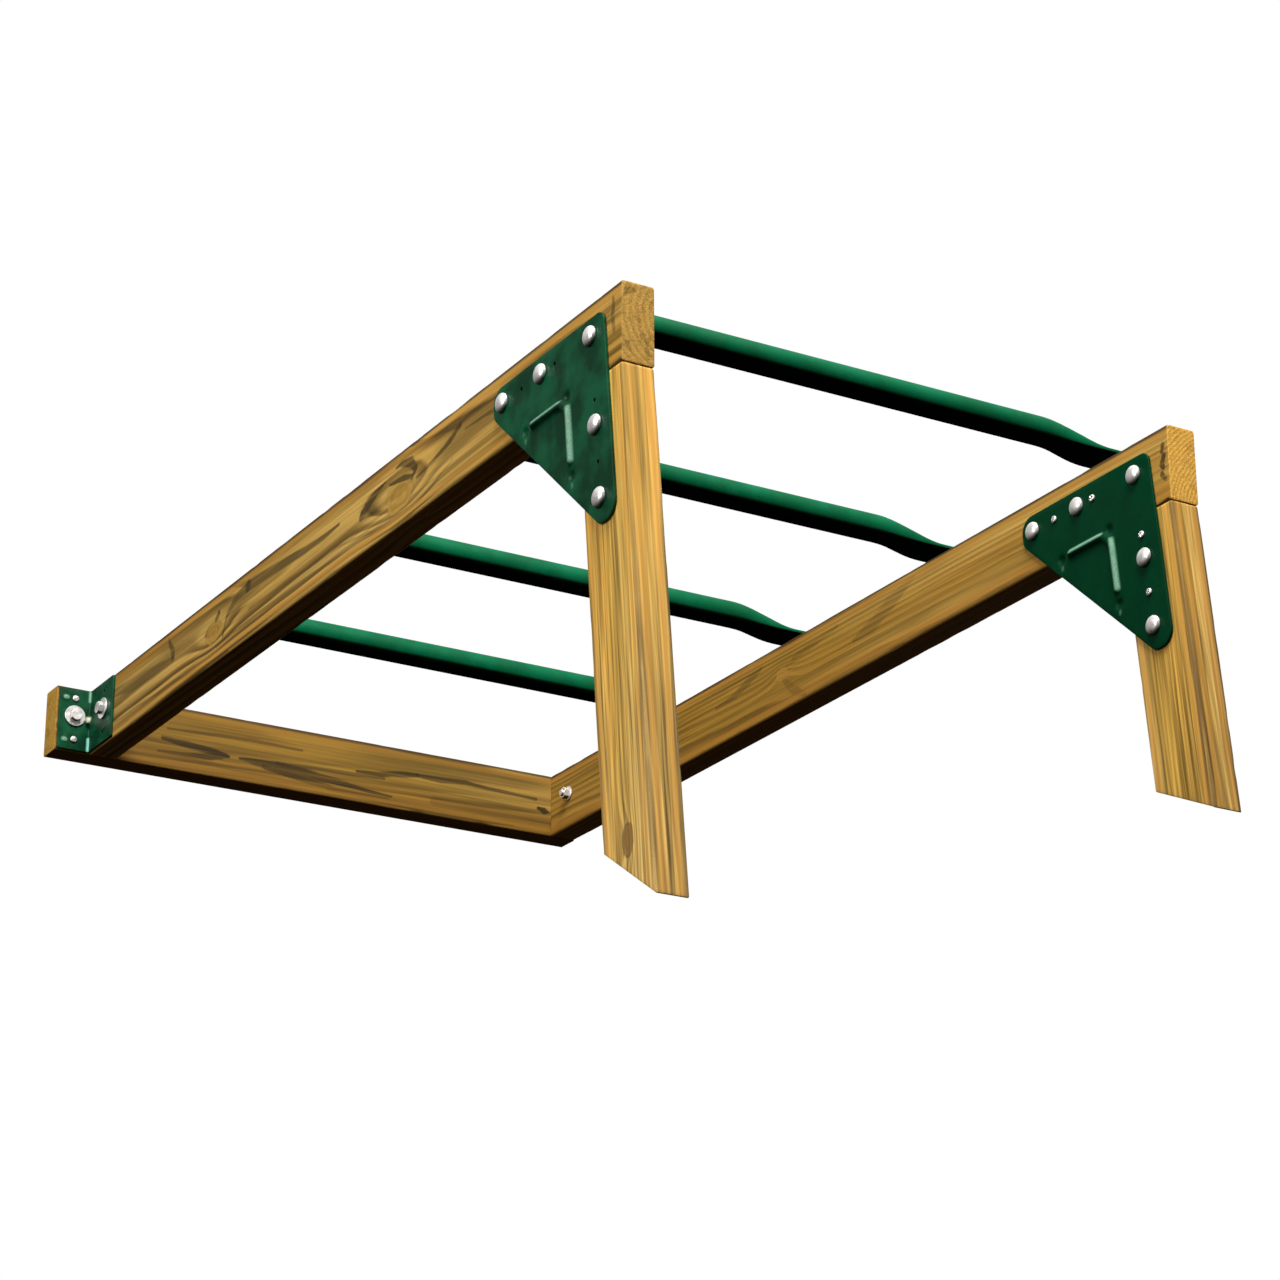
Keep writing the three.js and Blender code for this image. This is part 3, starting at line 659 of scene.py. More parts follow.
# Knots are ((along, across), size) and strokes are (share, points of (along, across, half width)).
# Along and across are the row frame's y and z on the rails and its x and z on the beam, in millimetres.
LOOKS = {
    "rail_left": {
        "end_ease": 1, "seed": 1.0, "pith": (-43, 16), "tilt": (0.010, 0.0), "spacing": 7.6, "warp": 10,
        "contrast": 1.15, "streak": 0.12, "tint": (0.86, 0.85, 0.72), "outline": 0.95, "rim": 0.15,
        "hair": 0.26, "knot_tone": KNOT_GOLD, "blotch": 0.55, "end_tone": (0.66, 0.380, 0.085),
        "knots": (((-922, -10), 21), ((-425, -4), 15)),
        "strokes": (
            (0.85, ((-900, 13, 2), (-932, 9, 4), (-955, 3, 3.5))),
            (0.85, ((-955, 0, 3), (-962, 10, 4.5), (-948, 22, 6.5), (-925, 28, 4), (-912, 28, 1.5))),
            (0.85, ((-888, 20, 1.5), (-868, 16, 5), (-848, 9, 8), (-832, 1, 6))),
            (0.50, ((-832, 1, 5), (-850, -4, 3), (-880, -10, 1.5))),
            (0.80, ((-1064, 21, 3.5), (-1042, 12, 4), (-1007, 3, 3.5), (-967, -3, 2))),
            (0.65, ((-1062, 21, 3), (-1006, 31, 2.5), (-945, 41, 1.5))),
            (0.70, ((-1062, 22, 2), (-1089, 26, 2.5), (-1150, 21, 2))),
            (0.60, ((-1075, 11, 1), (-1110, 9, 2.2), (-1160, 3, 2))),
            (0.80, ((-772, 12, 2), (-736, 10, 4), (-683, 12, 5.5), (-600, 18, 8), (-523, 23, 8))),
            (0.70, ((-523, 23, 8), (-486, 18, 6), (-465, 5, 3.5), (-458, -16, 2.5))),
            (0.50, ((-523, 27, 4), (-475, 41, 3.5), (-425, 43, 2.5))),
            (0.85, ((-440, 17, 4.5), (-433, 12, 4))),
            (0.70, ((-288, 35, 2.5), (-303, 14, 6), (-302, 2, 5))),
            (0.60, ((-302, 2, 5), (-240, 4, 8), (-170, 9, 9), (-110, 17, 5))),
            (0.45, ((-1050, -14, 1), (-971, -33, 2.5), (-885, -31, 2.5), (-772, -14, 2.5),
                    (-532, -8, 2.5))),
            (0.45, ((-780, -28, 1), (-700, -26, 2.5), (-560, -22, 2.5), (-440, -26, 1.5))),
            (0.40, ((-472, -40, 2), (-401, -38, 2.5), (-298, -28, 2.5), (-120, -24, 2))),
            (0.60, ((-1394, 32, 2.5), (-1391, 12, 4), (-1394, -4, 3))),
            # Painted shadow: a dark line in the seam under the rail's lower edge, by the leg.
            (0.95, ((-1403, -42, 2.6), (-1384, -43, 2))),
        ),
    },
    "rail_right": {
        "end_ease": 1, "seed": 2.0, "pith": (-70, -52), "tilt": (0.004, 0.006), "spacing": 4.6, "warp": 8,
        "contrast": 0.74, "streak": 0.16, "tint": (0.70, 0.67, 0.51), "outline": 0.95, "rim": 0.0,
        "hair": 0.22, "knot_tone": KNOT_ORANGE, "blotch": 0.2, "end_tone": (1.30, 0.74, 0.165),
        "knots": (((-634, 4), 9),),
        "strokes": (
            (0.42, ((-586, 28, 3), (-556, 20, 7), (-525, 10, 5), (-480, 6, 2))),
            (0.32, ((-640, -6, 3), (-655, -20, 7), (-682, -38, 5))),
            (0.35, ((-925, 34, 4), (-880, 18, 11), (-841, 2, 10), (-800, -4, 4))),
            (0.35, ((-760, 26, 3), (-700, 20, 5), (-660, 16, 2))),
            (0.85, ((-1396, 24, 3.5), (-1394, 15, 3))),
            (0.90, ((-1397, 9, 4), (-1395, 1, 4.5), (-1398, -5, 3))),
            (0.80, ((-1395, -11, 3.5), (-1399, -18, 3))),
            # Painted shadow: a dark line in the seam under the rail's lower edge, by the leg.
            (0.95, ((-1403, -42, 2.6), (-1384, -43, 2))),
        ),
    },
    "cross_beam": {
        "end_ease": 1, "seed": 3.0, "pith": (60, 30), "tilt": (0.012, 0.010), "spacing": 6.0, "warp": 9,
        "contrast": 0.62, "streak": 0.14, "tint": (0.53, 0.52, 0.37), "outline": 0.85, "rim": 0.0,
        "hair": 0.26, "knot_tone": KNOT_GOLD, "blotch": 0.3, "end_tone": (1.10, 0.62, 0.13),
        "knots": (),
        "strokes": (
            (0.90, ((-264, -3, 3), (-228, -6, 5.5), (-195, -9, 4.5), (-171, -12, 2))),
            (0.85, ((-270, -21, 2), (-230, -20, 4.5), (-195, -16, 5), (-171, -12, 2))),
            (0.90, ((-155, -12, 1.5), (-130, -13, 4.5), (-100, -13, 6), (-58, -15, 5), (0, -21, 4),
                    (75, -27, 1.5))),
            (0.75, ((-120, -17, 2.5), (-60, -24, 4.5), (-10, -30, 4), (70, -31, 2))),
            (0.65, ((-100, -9, 2), (-2, -6, 3.5), (60, -3, 3))),
            (0.60, ((-255, 12, 2), (-137, 16, 3), (-60, 15, 2))),
            (0.85, ((20, 0, 2), (55, 2, 4), (95, 7, 4), (115, 9, 2.5))),
            (0.80, ((115, 9, 2.5), (150, 8, 4.5), (190, 11, 4), (225, 8, 3), (300, 6, 2))),
            (0.60, ((-20, -33, 3), (120, -38, 4.5), (260, -38, 2.5))),
            # Painted shade: a broad faint darkening towards the beam's right end.
            (0.30, ((140, -22, 8), (240, -20, 14), (318, -22, 10))),
            (0.95, ((304, -5, 3), (313, -8, 5.5), (320, -9, 2))),
        ),
    },
    "leg_left": {
        **LEG_LOOK, "seed": 4.0, "pith": (-75, -70), "tilt": (0.012, 0.02), "spacing": 4.6,
        "streak": 0.30, "tint": (1.22, 1.28, 1.42), "outline": 0.45, "rim": 0.55, "hair": 0.60,
        "knots": (((-688, 1352), 10),),
    },
    "leg_right": {
        **LEG_LOOK, "seed": 5.0, "pith": (-72, -80), "tilt": (0.010, 0.02), "spacing": 5.0,
        "streak": 0.28, "tint": (1.16, 1.20, 1.34), "outline": 0.6, "rim": 0.0, "hair": 0.55,
        "knots": (),
    },
}


def boards():
    rails = {side: board("rail_" + side, RAIL_AXES, LOOKS["rail_" + side]) for side in ("left", "right")}
    legs = {side: board("leg_" + side, LEG_AXES, LOOKS["leg_" + side]) for side in ("left", "right")}
    beam = board("cross_beam", BEAM_AXES, LOOKS["cross_beam"])
    for side in ("left", "right"):
        through = [node_middle(f"gusset_{side}_bolt_{k}") for k in range(1, 6)]
        across = [(p - X_AXIS * 0.05, p + X_AXIS * 0.05, BOLT_HOLE_R) for p in through]
        rear = node_middle("bracket_rail_bolt" if side == "left" else "rear_right_bolt")
        rear_hole = (rear - X_AXIS * 0.06, rear + X_AXIS * 0.06, BOLT_HOLE_R)
        down = []
        for i in range(1, 5):
            p = node_middle(f"rung_{i}_lag_{side}")
            low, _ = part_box(f"rung_{i}_lag_{side}")
            down.append((Vector((p.x, p.y, low.z - GAP)), p + Z_AXIS * 0.05, LAG_R + GAP))
        cut_holes(rails[side], across[:3] + [rear_hole] + down)
        cut_holes(legs[side], across[3:])
    lag = node_middle("bracket_beam_lag")
    _, lag_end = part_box("bracket_beam_lag")
    cut_holes(beam, [(lag - Y_AXIS * 0.05, Vector((lag.x, lag_end.y + GAP, lag.z)), BOLT_HOLE_R)])


# ---------- rungs ----------


def pressed_ring(flat, inset):
    """One section of a tube that is round at flat 0 and a pressed tab at flat 1, resting on z = 0."""
    angles = 2 * np.pi * np.arange(RUNG_SIDES) / RUNG_SIDES
    half_w = RUNG_R + (TAB_HALF_W - RUNG_R) * flat - inset
    outer_t = RUNG_R + (TAB_HALF_T - RUNG_R) * flat
    half_t = outer_t - inset
    across, up = np.cos(angles), np.sin(angles)
    squared = up + (np.tanh(2.4 * up) / np.tanh(2.4) - up) * flat
    wide = np.tanh(1.6 * across) / np.tanh(1.6)
    y = (half_w - half_t) * wide + half_t * across
    return y, outer_t + half_t * squared


def even_rise(t, ease):
    """Rises from 0 to 1 at an even slope, eased over a share of each end."""
    bend = 2 * ease * (1 - ease)
    if t < ease:
        return t * t / bend
    if t > 1 - ease:
        return 1 - (1 - t) ** 2 / bend
    return (t - ease / 2) / (1 - ease)


def pressed_end(taper):
    """Distances from a tube end, each with how flat the tube is there (1 is flat)."""
    rise = [(TAB_LEN + taper * t, 1 - even_rise(t, TAPER_EASE)) for t in np.linspace(0, 1, 25)]
    return [(0.0, 1.0), (TAB_LEN * 0.5, 1.0), (TAB_LEN * 0.9, 1.0)] + rise


def rung(node, material):
    low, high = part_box(node)
    length = high.x - low.x
    near, far = pressed_end(TAPER_LEFT), pressed_end(TAPER_RIGHT)
    middle = [(x, 0.0) for x in np.linspace(near[-1][0], length - far[-1][0], 14)[1:-1]]
    stations = near + middle + [(length - x, flat) for x, flat in reversed(far)]
    verts = []
    for inset, order in ((0, stations), (RUNG_WALL, stations[::-1])):
        for x, flat in order:
            y, z = pressed_ring(flat, inset)
            verts += [(low.x + x, (low.y + high.y) / 2 + yy, low.z + zz) for yy, zz in zip(y, z)]
    rings = 2 * len(stations)
    faces = ring_faces(RUNG_SIDES, rings) + closing_faces(RUNG_SIDES, rings)
    obj = add_piece(node, verts, faces, material, 50)
    holes = []
    for side in ("left", "right"):
        p = node_middle(f"{node}_lag_{side}")
        p.z = low.z
        holes.append((p - Z_AXIS * 0.01, p + Z_AXIS * 0.01, LAG_R + GAP))
    cut_holes(obj, holes, 50)
    obj.visible_shadow = False


# ---------- pressed plates ----------


def arc_points(centre, radius, start, end, step=1.2 * MM):
    count = max(3, int(abs(end - start) * radius / step))
    return [
        (centre[0] + radius * math.cos(a), centre[1] + radius * math.sin(a))
        for a in np.linspace(start, end, count + 1)
    ]


def rounded_outline(corners, step=4 * MM):
    """Points round a convex outline given as (x, y, corner radius), counter-clockwise."""
    places = [Vector(c[:2]) for c in corners]
    pieces = []
    for k, (_, _, radius) in enumerate(corners):
        here, before = places[k], places[k - 1]
        after = places[(k + 1) % len(places)]
        to_before, to_after = (before - here).normalized(), (after - here).normalized()
        half_angle = math.acos(to_before.dot(to_after)) / 2
        centre = here + (to_before + to_after).normalized() * radius / math.sin(half_angle)
        start = here + to_before * radius / math.tan(half_angle) - centre
        sweep = math.pi - 2 * half_angle
        first = math.atan2(start.y, start.x)
        pieces.append(arc_points(centre, radius, first, first + sweep))
    outline = []
    for piece, following in zip(pieces, pieces[1:] + pieces[:1]):
        outline += piece
        a, b = Vector(piece[-1]), Vector(following[0])
        count = int((b - a).length / step)
        outline += [tuple(a.lerp(b, k / count)) for k in range(1, count)]
    return np.array(outline)


def loop_normals(loop):
    """Outward normals of a counter-clockwise loop."""
    along = np.roll(loop, -1, 0) - np.roll(loop, 1, 0)
    along /= np.linalg.norm(along, axis=1)[:, None]
    return np.stack((along[:, 1], -along[:, 0]), 1)


def inside(loop, points):
    """Which points lie in a closed loop."""
    x, y = points[:, 0][:, None], points[:, 1][:, None]
    ax, ay = loop[:, 0], loop[:, 1]
    bx, by = np.roll(ax, -1), np.roll(ay, -1)
    crosses = (ay > y) != (by > y)
    with np.errstate(divide="ignore", invalid="ignore"):
        at = ax + (y - ay) * (bx - ax) / (by - ay)
    return (crosses & (x < at)).sum(1) % 2 == 1


def grid(low, high, step):
    xs, ys = np.meshgrid(np.arange(low[0], high[0], step), np.arange(low[1], high[1], step))
    xs[1::2] += step / 2
    return np.stack((xs.ravel(), ys.ravel()), 1)


def sheet_points(loops, holes, fine_at):
    """The face's edge loops, and every point of the face with those loops first."""
    outline, outward = loops[0]
    face_loops = [loop - normal * RIM_R for loop, normal in loops]
    low, high = outline.min(0), outline.max(0)
    coarse, close = grid(low, high, COARSE_STEP), grid(low, high, CLOSE_STEP)
    inner = np.vstack((coarse[~fine_at(coarse)], close[fine_at(close)]))
    keep = inside(face_loops[0] - outward * RIM_GAP, inner)
    for centre, radius in holes:
        keep &= np.hypot(inner[:, 0] - centre[0], inner[:, 1] - centre[1]) > radius + RIM_R + RIM_GAP
    return face_loops, np.vstack(face_loops + [inner[keep]])


def sheet_triangles(face_loops, points, holes):
    """Triangles between the face's points, with its holes left open."""
    edges, first = [], 0
    for loop in face_loops:
        edges += [(first + k, first + (k + 1) % len(loop)) for k in range(len(loop))]
        first += len(loop)
    result = geometry.delaunay_2d_cdt([Vector(p) for p in points], edges, [], 0, 1e-9)
    corners = np.array([tuple(v) for v in result[0]])
    source = [original[0] for original in result[3]]
    middles = np.array([corners[list(f)].mean(0) for f in result[2]])
    kept = inside(face_loops[0], middles)
    for centre, radius in holes:
        kept &= np.hypot(middles[:, 0] - centre[0], middles[:, 1] - centre[1]) > radius + RIM_R * 0.7
    return [tuple(source[v] for v in f) for f, good in zip(result[2], kept) if good]


def sheet(outline, holes, height, fine_at, back_height):
    """A pressed sheet with rounded rims: (verts, faces), thickness along z from 0.

    height and back_height raise the two faces, and fine_at says where the points stand closely.
    """
    loops = [(outline, loop_normals(outline))]
    for centre, radius in holes:
        circle = np.array(arc_points(centre, radius, 0, 2 * math.pi, MM)[:-1])
        loops.append((circle, -loop_normals(circle)))
    face_loops, points = sheet_points(loops, holes, fine_at)
    triangles = sheet_triangles(face_loops, points, holes)
    count = len(points)
    verts = [np.column_stack((points, PLATE_T + height(points)))]
    verts.append(np.column_stack((points, back_height(points))))
    faces = triangles + [tuple(count + v for v in reversed(f)) for f in triangles]
    rim = [(RIM_R * (1 - math.sin(a)), RIM_R * (1 - math.cos(a))) for a in np.linspace(0, math.pi / 2, 4)]
    total, start = 2 * count, 0
    for loop, normal in loops:
        n = len(loop)
        rings = [start]
        for top in (True, False):
            for inset, drop in rim[1:] if top else rim[:0:-1]:
                at = loop - normal * inset
                level = PLATE_T + height(at) - drop if top else back_height(at) + drop
                verts.append(np.column_stack((at, level)))
                rings.append(total)
                total += n
        rings.append(count + start)
        for a, b in zip(rings, rings[1:]):
            faces += [(a + k, b + k, b + (k + 1) % n, a + (k + 1) % n) for k in range(n)]
        start += n
    return np.vstack(verts), faces


def plate_place(u, v):
    """A plate position from the corner bolt, as (back along the rail, up)."""
    return (u - v * math.sin(LEG_LEAN), -v * math.cos(LEG_LEAN))


def rib_path():
    """Points along the rib's middle: an arm along the rail, a rounded corner, an arm down the leg."""
    end_a, end_b = plate_place(RIB_END, RIB_OFFSET), plate_place(RIB_OFFSET, RIB_END)
    corner = Vector(plate_place(RIB_OFFSET, RIB_OFFSET))
    a = Vector(plate_place(RIB_OFFSET + RIB_CORNER_R, RIB_OFFSET))
    b = Vector(plate_place(RIB_OFFSET, RIB_OFFSET + RIB_CORNER_R))
    turn = [a.lerp(corner, t).lerp(corner.lerp(b, t), t) for t in np.linspace(0, 1, 12)]
    return np.array([end_a, *turn, end_b])


def distance_to(path, points):
    """Distance from each point to a line of points."""
    best = np.full(len(points), np.inf)
    for a, b in zip(path, path[1:]):
        share = np.clip((points - a) @ (b - a) / ((b - a) @ (b - a)), 0, 1)
        best = np.minimum(best, np.linalg.norm(points - a - share[:, None] * (b - a), axis=1))
    return best


def rib_height(points):
    away = distance_to(rib_path(), points)
    return RIB_H * smoothstep((RIB_HALF_W - away) / (RIB_HALF_W - RIB_FLAT_HALF_W))


def dimple_height(points):
    total = np.zeros(len(points))
    for u, v in DIMPLES:
        away = np.linalg.norm(points - plate_place(u, v), axis=1) / DIMPLE_R
        total -= DIMPLE_DEPTH * smoothstep(1.5 * (1 - away))
    return total


def near_press(points):
    near_dimple = dimple_height(points) < 0
    return near_dimple | (distance_to(rib_path(), points) < RIB_HALF_W + 1.5 * MM)


def gusset(node, face, corner_node, material):
    """face is +1 where the pressed side looks to +X, -1 where it looks to -X."""
    corners = [(*plate_place(u * MM, v * MM), r * MM) for u, v, r in reversed(PLATE_CORNERS)]
    bolts = [(0, 0), *[(u, 0) for u in ARM_BOLTS], *[(0, v) for v in ARM_BOLTS]]
    screws = [*[(u, 0) for u in ARM_SCREWS], *[(0, v) for v in ARM_SCREWS]]
    holes = [(plate_place(u, v), BOLT_HOLE_R) for u, v in bolts]
    holes += [(plate_place(u, v), SCREW_HOLE_R) for u, v in screws]
    verts, faces = sheet(
        rounded_outline(corners),
        holes,
        lambda p: rib_height(p) + dimple_height(p),
        near_press,
        lambda p: rib_height(p) * 0.9,
    )
    low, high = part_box(node)
    wall_x = low.x if face > 0 else high.x
    corner = node_middle(corner_node)
    placed = [(wall_x + face * z, corner.y + y, corner.z + up) for y, up, z in verts]
    return add_piece(node, placed, faces, material, 50)


def fold_place(s, rail_leaf, bend):
    """Where s lies on the folded sheet from its outer corner, and its normal: (x, y, nx, ny)."""
    if s < rail_leaf:
        return 0.0, s - rail_leaf - BRACKET_BEND_R, -1.0, 0.0
    if s > rail_leaf + bend:
        return -BRACKET_BEND_R - (s - rail_leaf - bend), 0.0, 0.0, -1.0
    turn = (s - rail_leaf) / BRACKET_BEND_R
    nx, ny = -math.cos(turn), -math.sin(turn)
    return -BRACKET_BEND_R * (1 + nx), -BRACKET_BEND_R * (1 + ny), nx, ny


def bracket(material):
    """The folded corner bracket. s runs from the rail leaf's end round the fold to the beam leaf's end."""
    low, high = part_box("corner_bracket")
    rail_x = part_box("rail_left")[0].x
    beam_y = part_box("cross_beam")[0].y
    rail_leaf = beam_y - GAP - BRACKET_BEND_R - low.y
    beam_leaf = rail_x - GAP - BRACKET_BEND_R - low.x
    bend = BRACKET_BEND_R * math.pi / 2
    length = rail_leaf + bend + beam_leaf
    half_h = (high.z - low.z) / 2
    corners = [(s, z, BRACKET_CORNER_R) for s, z in
               ((0, -half_h), (length, -half_h), (length, half_h), (0, half_h))]
    s_rail = rail_leaf + BRACKET_BEND_R - (BRACKET_BOLT_Y - GAP)
    s_beam = rail_leaf + bend - BRACKET_BEND_R + (BRACKET_BOLT_X - GAP)
    fold = rail_leaf + bend / 2
    holes = []
    for s in (s_rail, s_beam):
        holes.append(((s, BOLT_LINE_Z), BOLT_HOLE_R))
        holes += [((s, side * BRACKET_SCREW_Z), SCREW_HOLE_R) for side in (-1, 1)]
    bosses = [(s_beam + along * MM, z * MM) for along, z in BEAM_LEAF_BOSSES]
    bosses += [(s_rail + along * MM, z * MM) for along, z in RAIL_LEAF_BOSSES]

    def height(p):
        total = np.zeros(len(p))
        for s, z in bosses:
            away = np.hypot(p[:, 0] - s, p[:, 1] - z) / BOSS_R
            total += BOSS_H * smoothstep(1.2 * (1 - away))
        return total

    def fine_at(p):
        return (np.abs(p[:, 0] - fold) < 13 * MM) | (height(p) > 0)

    verts, faces = sheet(rounded_outline(corners), holes, height, fine_at, lambda p: 0 * p[:, 0])
    from_dart = np.hypot((verts[:, 0] - fold) / DART_HALF_W, (verts[:, 1] + 2 * MM) / DART_HALF_H)
    pushes = DART_DEPTH * smoothstep(1.15 * (1 - from_dart))
    placed = []
    for (s, z, rise), push in zip(verts, pushes):
        x, y, nx, ny = fold_place(s, rail_leaf, bend)
        pushed = push * (rise / PLATE_T) * DIAGONAL
        x += nx * rise - pushed
        y += ny * rise - pushed
        placed.append((rail_x - GAP + x, beam_y - GAP + y, (low.z + high.z) / 2 + z))
    return add_piece("corner_bracket", placed, faces, material, 50)


# ---------- fasteners ----------


def hex_radius(radius, angles):
    """A hexagon's radius at each angle, from its corner radius."""
    return radius * FLAT_PER_CORNER / np.cos(np.mod(angles, math.pi / 3) - math.pi / 6)


def turned(profile, sides=TURNED_SIDES):
    """A solid turned about z. Each profile row is (radius, z) or (radius, z, hexagon's corner radius)."""
    angles = 2 * np.pi * np.arange(sides) / sides
    verts = []
    for radius, z, *corner_r in profile:
        radii = np.full(sides, float(radius))
        if corner_r:
            radii = np.minimum(radii, hex_radius(corner_r[0], angles))
        verts += [(r * math.cos(a), r * math.sin(a), z) for r, a in zip(radii, angles)]
    return np.array(verts), ring_faces(sides, len(profile)) + end_caps(sides, len(profile))


def threaded(verts, faces, radius, start, end, pitch=THREAD_PITCH, depth=THREAD_DEPTH):
    """Adds a shank with a real helical thread from z start to z end, closed at both ends."""
    angles = 2 * np.pi * np.arange(THREAD_SIDES) / THREAD_SIDES
    rows = []
    for z in np.arange(start, end + 1e-9, pitch / 6):
        phase = np.mod(z / pitch - angles / (2 * np.pi), 1)
        crest = np.clip(1.6 * (1 - np.abs(2 * phase - 1)), 0, 1)
        fade = min(1.0, max(0.0, (end - z) / pitch))
        radii = radius - depth * (1 - crest * fade)
        rows += [(r * math.cos(a), r * math.sin(a), z) for r, a in zip(radii, angles)]
    rings = len(rows) // THREAD_SIDES
    first = len(verts)
    more = ring_faces(THREAD_SIDES, rings, first) + end_caps(THREAD_SIDES, rings, first)
    return np.vstack((verts, rows)), faces + more


def dome(radius, height, rim_z, start, steps):
    """Profile of a rounded head, from its crown down to its rim."""
    return [(radius * math.sin(a), -rim_z - (height - rim_z) * math.cos(a))
            for a in np.linspace(start, math.pi / 2, steps)]


def domed_bolt(length):
    """Head below z = 0, shank up to length, its tip chamfered and threaded."""
    rim = [(HEAD_R, -0.5 * MM), (HEAD_R - 0.35 * MM, -0.05 * MM), (HEAD_R - 0.8 * MM, 0)]
    return shank(dome(HEAD_R, HEAD_H, 1.3 * MM, 0.04, 12) + rim, BOLT_R, length)


def hex_head(corner_r, height):
    """Profile of a chamfered hex head below z = 0, on its washer face."""
    flat_r = corner_r * FLAT_PER_CORNER
    inner, outer = flat_r * 0.97, corner_r * 1.04
    top = [(0.02 * MM, -height), (flat_r * 0.9, -height)]
    chamfer = [(inner + (outer - inner) * t, -height + 0.22 * height * t * t) for t in np.linspace(0, 1, 6)]
    face_z = -0.5 * MM
    rows = [(r, z, corner_r) for r, z in top + chamfer + [(corner_r, face_z)]]
    return rows + [(flat_r * 0.98, face_z), (flat_r * 0.98, 0)]


def shank(head, radius, length, thread=16 * MM, pitch=THREAD_PITCH):
    """A head's profile with a plain shank and a threaded end."""
    plain = length - thread
    profile = head + [(radius, 0.02 * MM), (radius, plain), (radius - THREAD_DEPTH, plain + 0.3 * MM)]
    return threaded(*turned(profile), radius, plain - 0.2 * MM, length, pitch)


def hex_bolt(length):
    return shank(hex_head(HEX_R, HEX_H), BOLT_R, length)


def lag(length, radius=LAG_R, corner_r=LAG_HEX_R, height=LAG_HEX_H):
    return shank(hex_head(corner_r, height), radius, length, length * 0.6, 2.6 * MM)


def beam_lag(length):
    return lag(length, BOLT_R, HEX_R, HEX_H)


def ring_solid(profile):
    """A turned ring: the profile is closed on itself."""
    verts, faces = turned(profile)
    open_faces = faces[:-2]
    return verts, open_faces + closing_faces(TURNED_SIDES, len(profile))


def flange_nut():
    """A nut on its flange: the flange's bearing face is at z = 0."""
    bore = BOLT_R + 0.05 * MM
    inner, outer = HEX_R * FLAT_PER_CORNER * 0.97, HEX_R * 1.02
    shoulder = NUT_H - 1.6 * MM
    rows = [(FLANGE_R - 0.4 * MM, 0), (FLANGE_R, 0.4 * MM), (FLANGE_R, 1.0 * MM)]
    rows += [(FLANGE_R - 0.5 * MM, 1.4 * MM), (HEX_R + 0.4 * MM, FLANGE_T)]
    rows += [(HEX_R, FLANGE_T + 0.1 * MM, HEX_R), (HEX_R, shoulder, HEX_R)]
    for t in np.linspace(0, 1, 5):
        rows.append((outer - (outer - inner) * t, NUT_H - 1.6 * MM * (1 - t) ** 2, HEX_R))
    rows += [(bore + 0.7 * MM, NUT_H), (bore, NUT_H - 0.7 * MM), (bore, 0.5 * MM), (bore + 0.5 * MM, 0)]
    return ring_solid(rows)


def washer():
    edge = 0.35 * MM
    outside = [(WASHER_R - edge, 0), (WASHER_R, -edge), (WASHER_R, -WASHER_T + edge)]
    outside.append((WASHER_R - edge, -WASHER_T))
    hole = [(BOLT_HOLE_R + edge, -WASHER_T), (BOLT_HOLE_R, -WASHER_T + edge)]
    hole += [(BOLT_HOLE_R, -edge), (BOLT_HOLE_R + edge, 0)]
    return ring_solid(outside + hole)


def pan_screw(length):
    """A small pan head with a cross recess, and a threaded shank to a point."""
    profile = dome(SCREW_HEAD_R, SCREW_HEAD_H, 0.6 * MM, 0.06, 9)
    profile += [(SCREW_HEAD_R, -0.2 * MM), (SCREW_HEAD_R - 0.2 * MM, 0), (SCREW_R, 0.02 * MM)]
    profile += [(SCREW_R - 0.5 * MM, 2 * MM), (SCREW_R - 0.6 * MM, length - 5 * MM), (0.05 * MM, length)]
    verts, faces = turned(profile, 40)
    from_cross = np.minimum(np.abs(verts[:, 0]), np.abs(verts[:, 1]))
    recessed = (verts[:, 2] < -0.6 * MM) & (np.hypot(verts[:, 0], verts[:, 1]) < SCREW_HEAD_R * 0.62)
    verts[:, 2] += np.where(recessed, 1.1 * MM * smoothstep((0.75 * MM - from_cross) / (0.35 * MM)), 0)
    return threaded(verts, faces, SCREW_R, 1 * MM, length - 4 * MM, 1.8 * MM, 0.55 * MM)


TURNS = {
    "+x": Matrix.Rotation(math.pi / 2, 3, "Y"),
    "-x": Matrix.Rotation(-math.pi / 2, 3, "Y"),
    "+y": Matrix.Rotation(-math.pi / 2, 3, "X"),
    "-z": Matrix.Rotation(math.pi, 3, "X"),
}


def place_fastener(node, way, solid, head_height, material, spin):
    """Puts a fastener where its CAD node is. way is where its shank points."""
    low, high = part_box(node)
    turn = TURNS[way] @ Matrix.Rotation(spin, 3, "Z")
    side = "xyz".index(way[1])
    base = (low + high) / 2
    base[side] = low[side] + head_height if way[0] == "+" else high[side] - head_height
    verts, faces = solid
    obj = add_piece(node, [base + turn @ Vector(v) for v in verts], faces, material, 32)
    obj.visible_diffuse = False


def fastener_length(node, way, head_height):
    low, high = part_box(node)
    side = "xyz".index(way[1])
    return high[side] - low[side] - head_height


def spins():
    """Every fastener is left at its own angle."""
    rng = np.random.default_rng(12)
    while True:
        yield float(rng.uniform(0, math.pi))


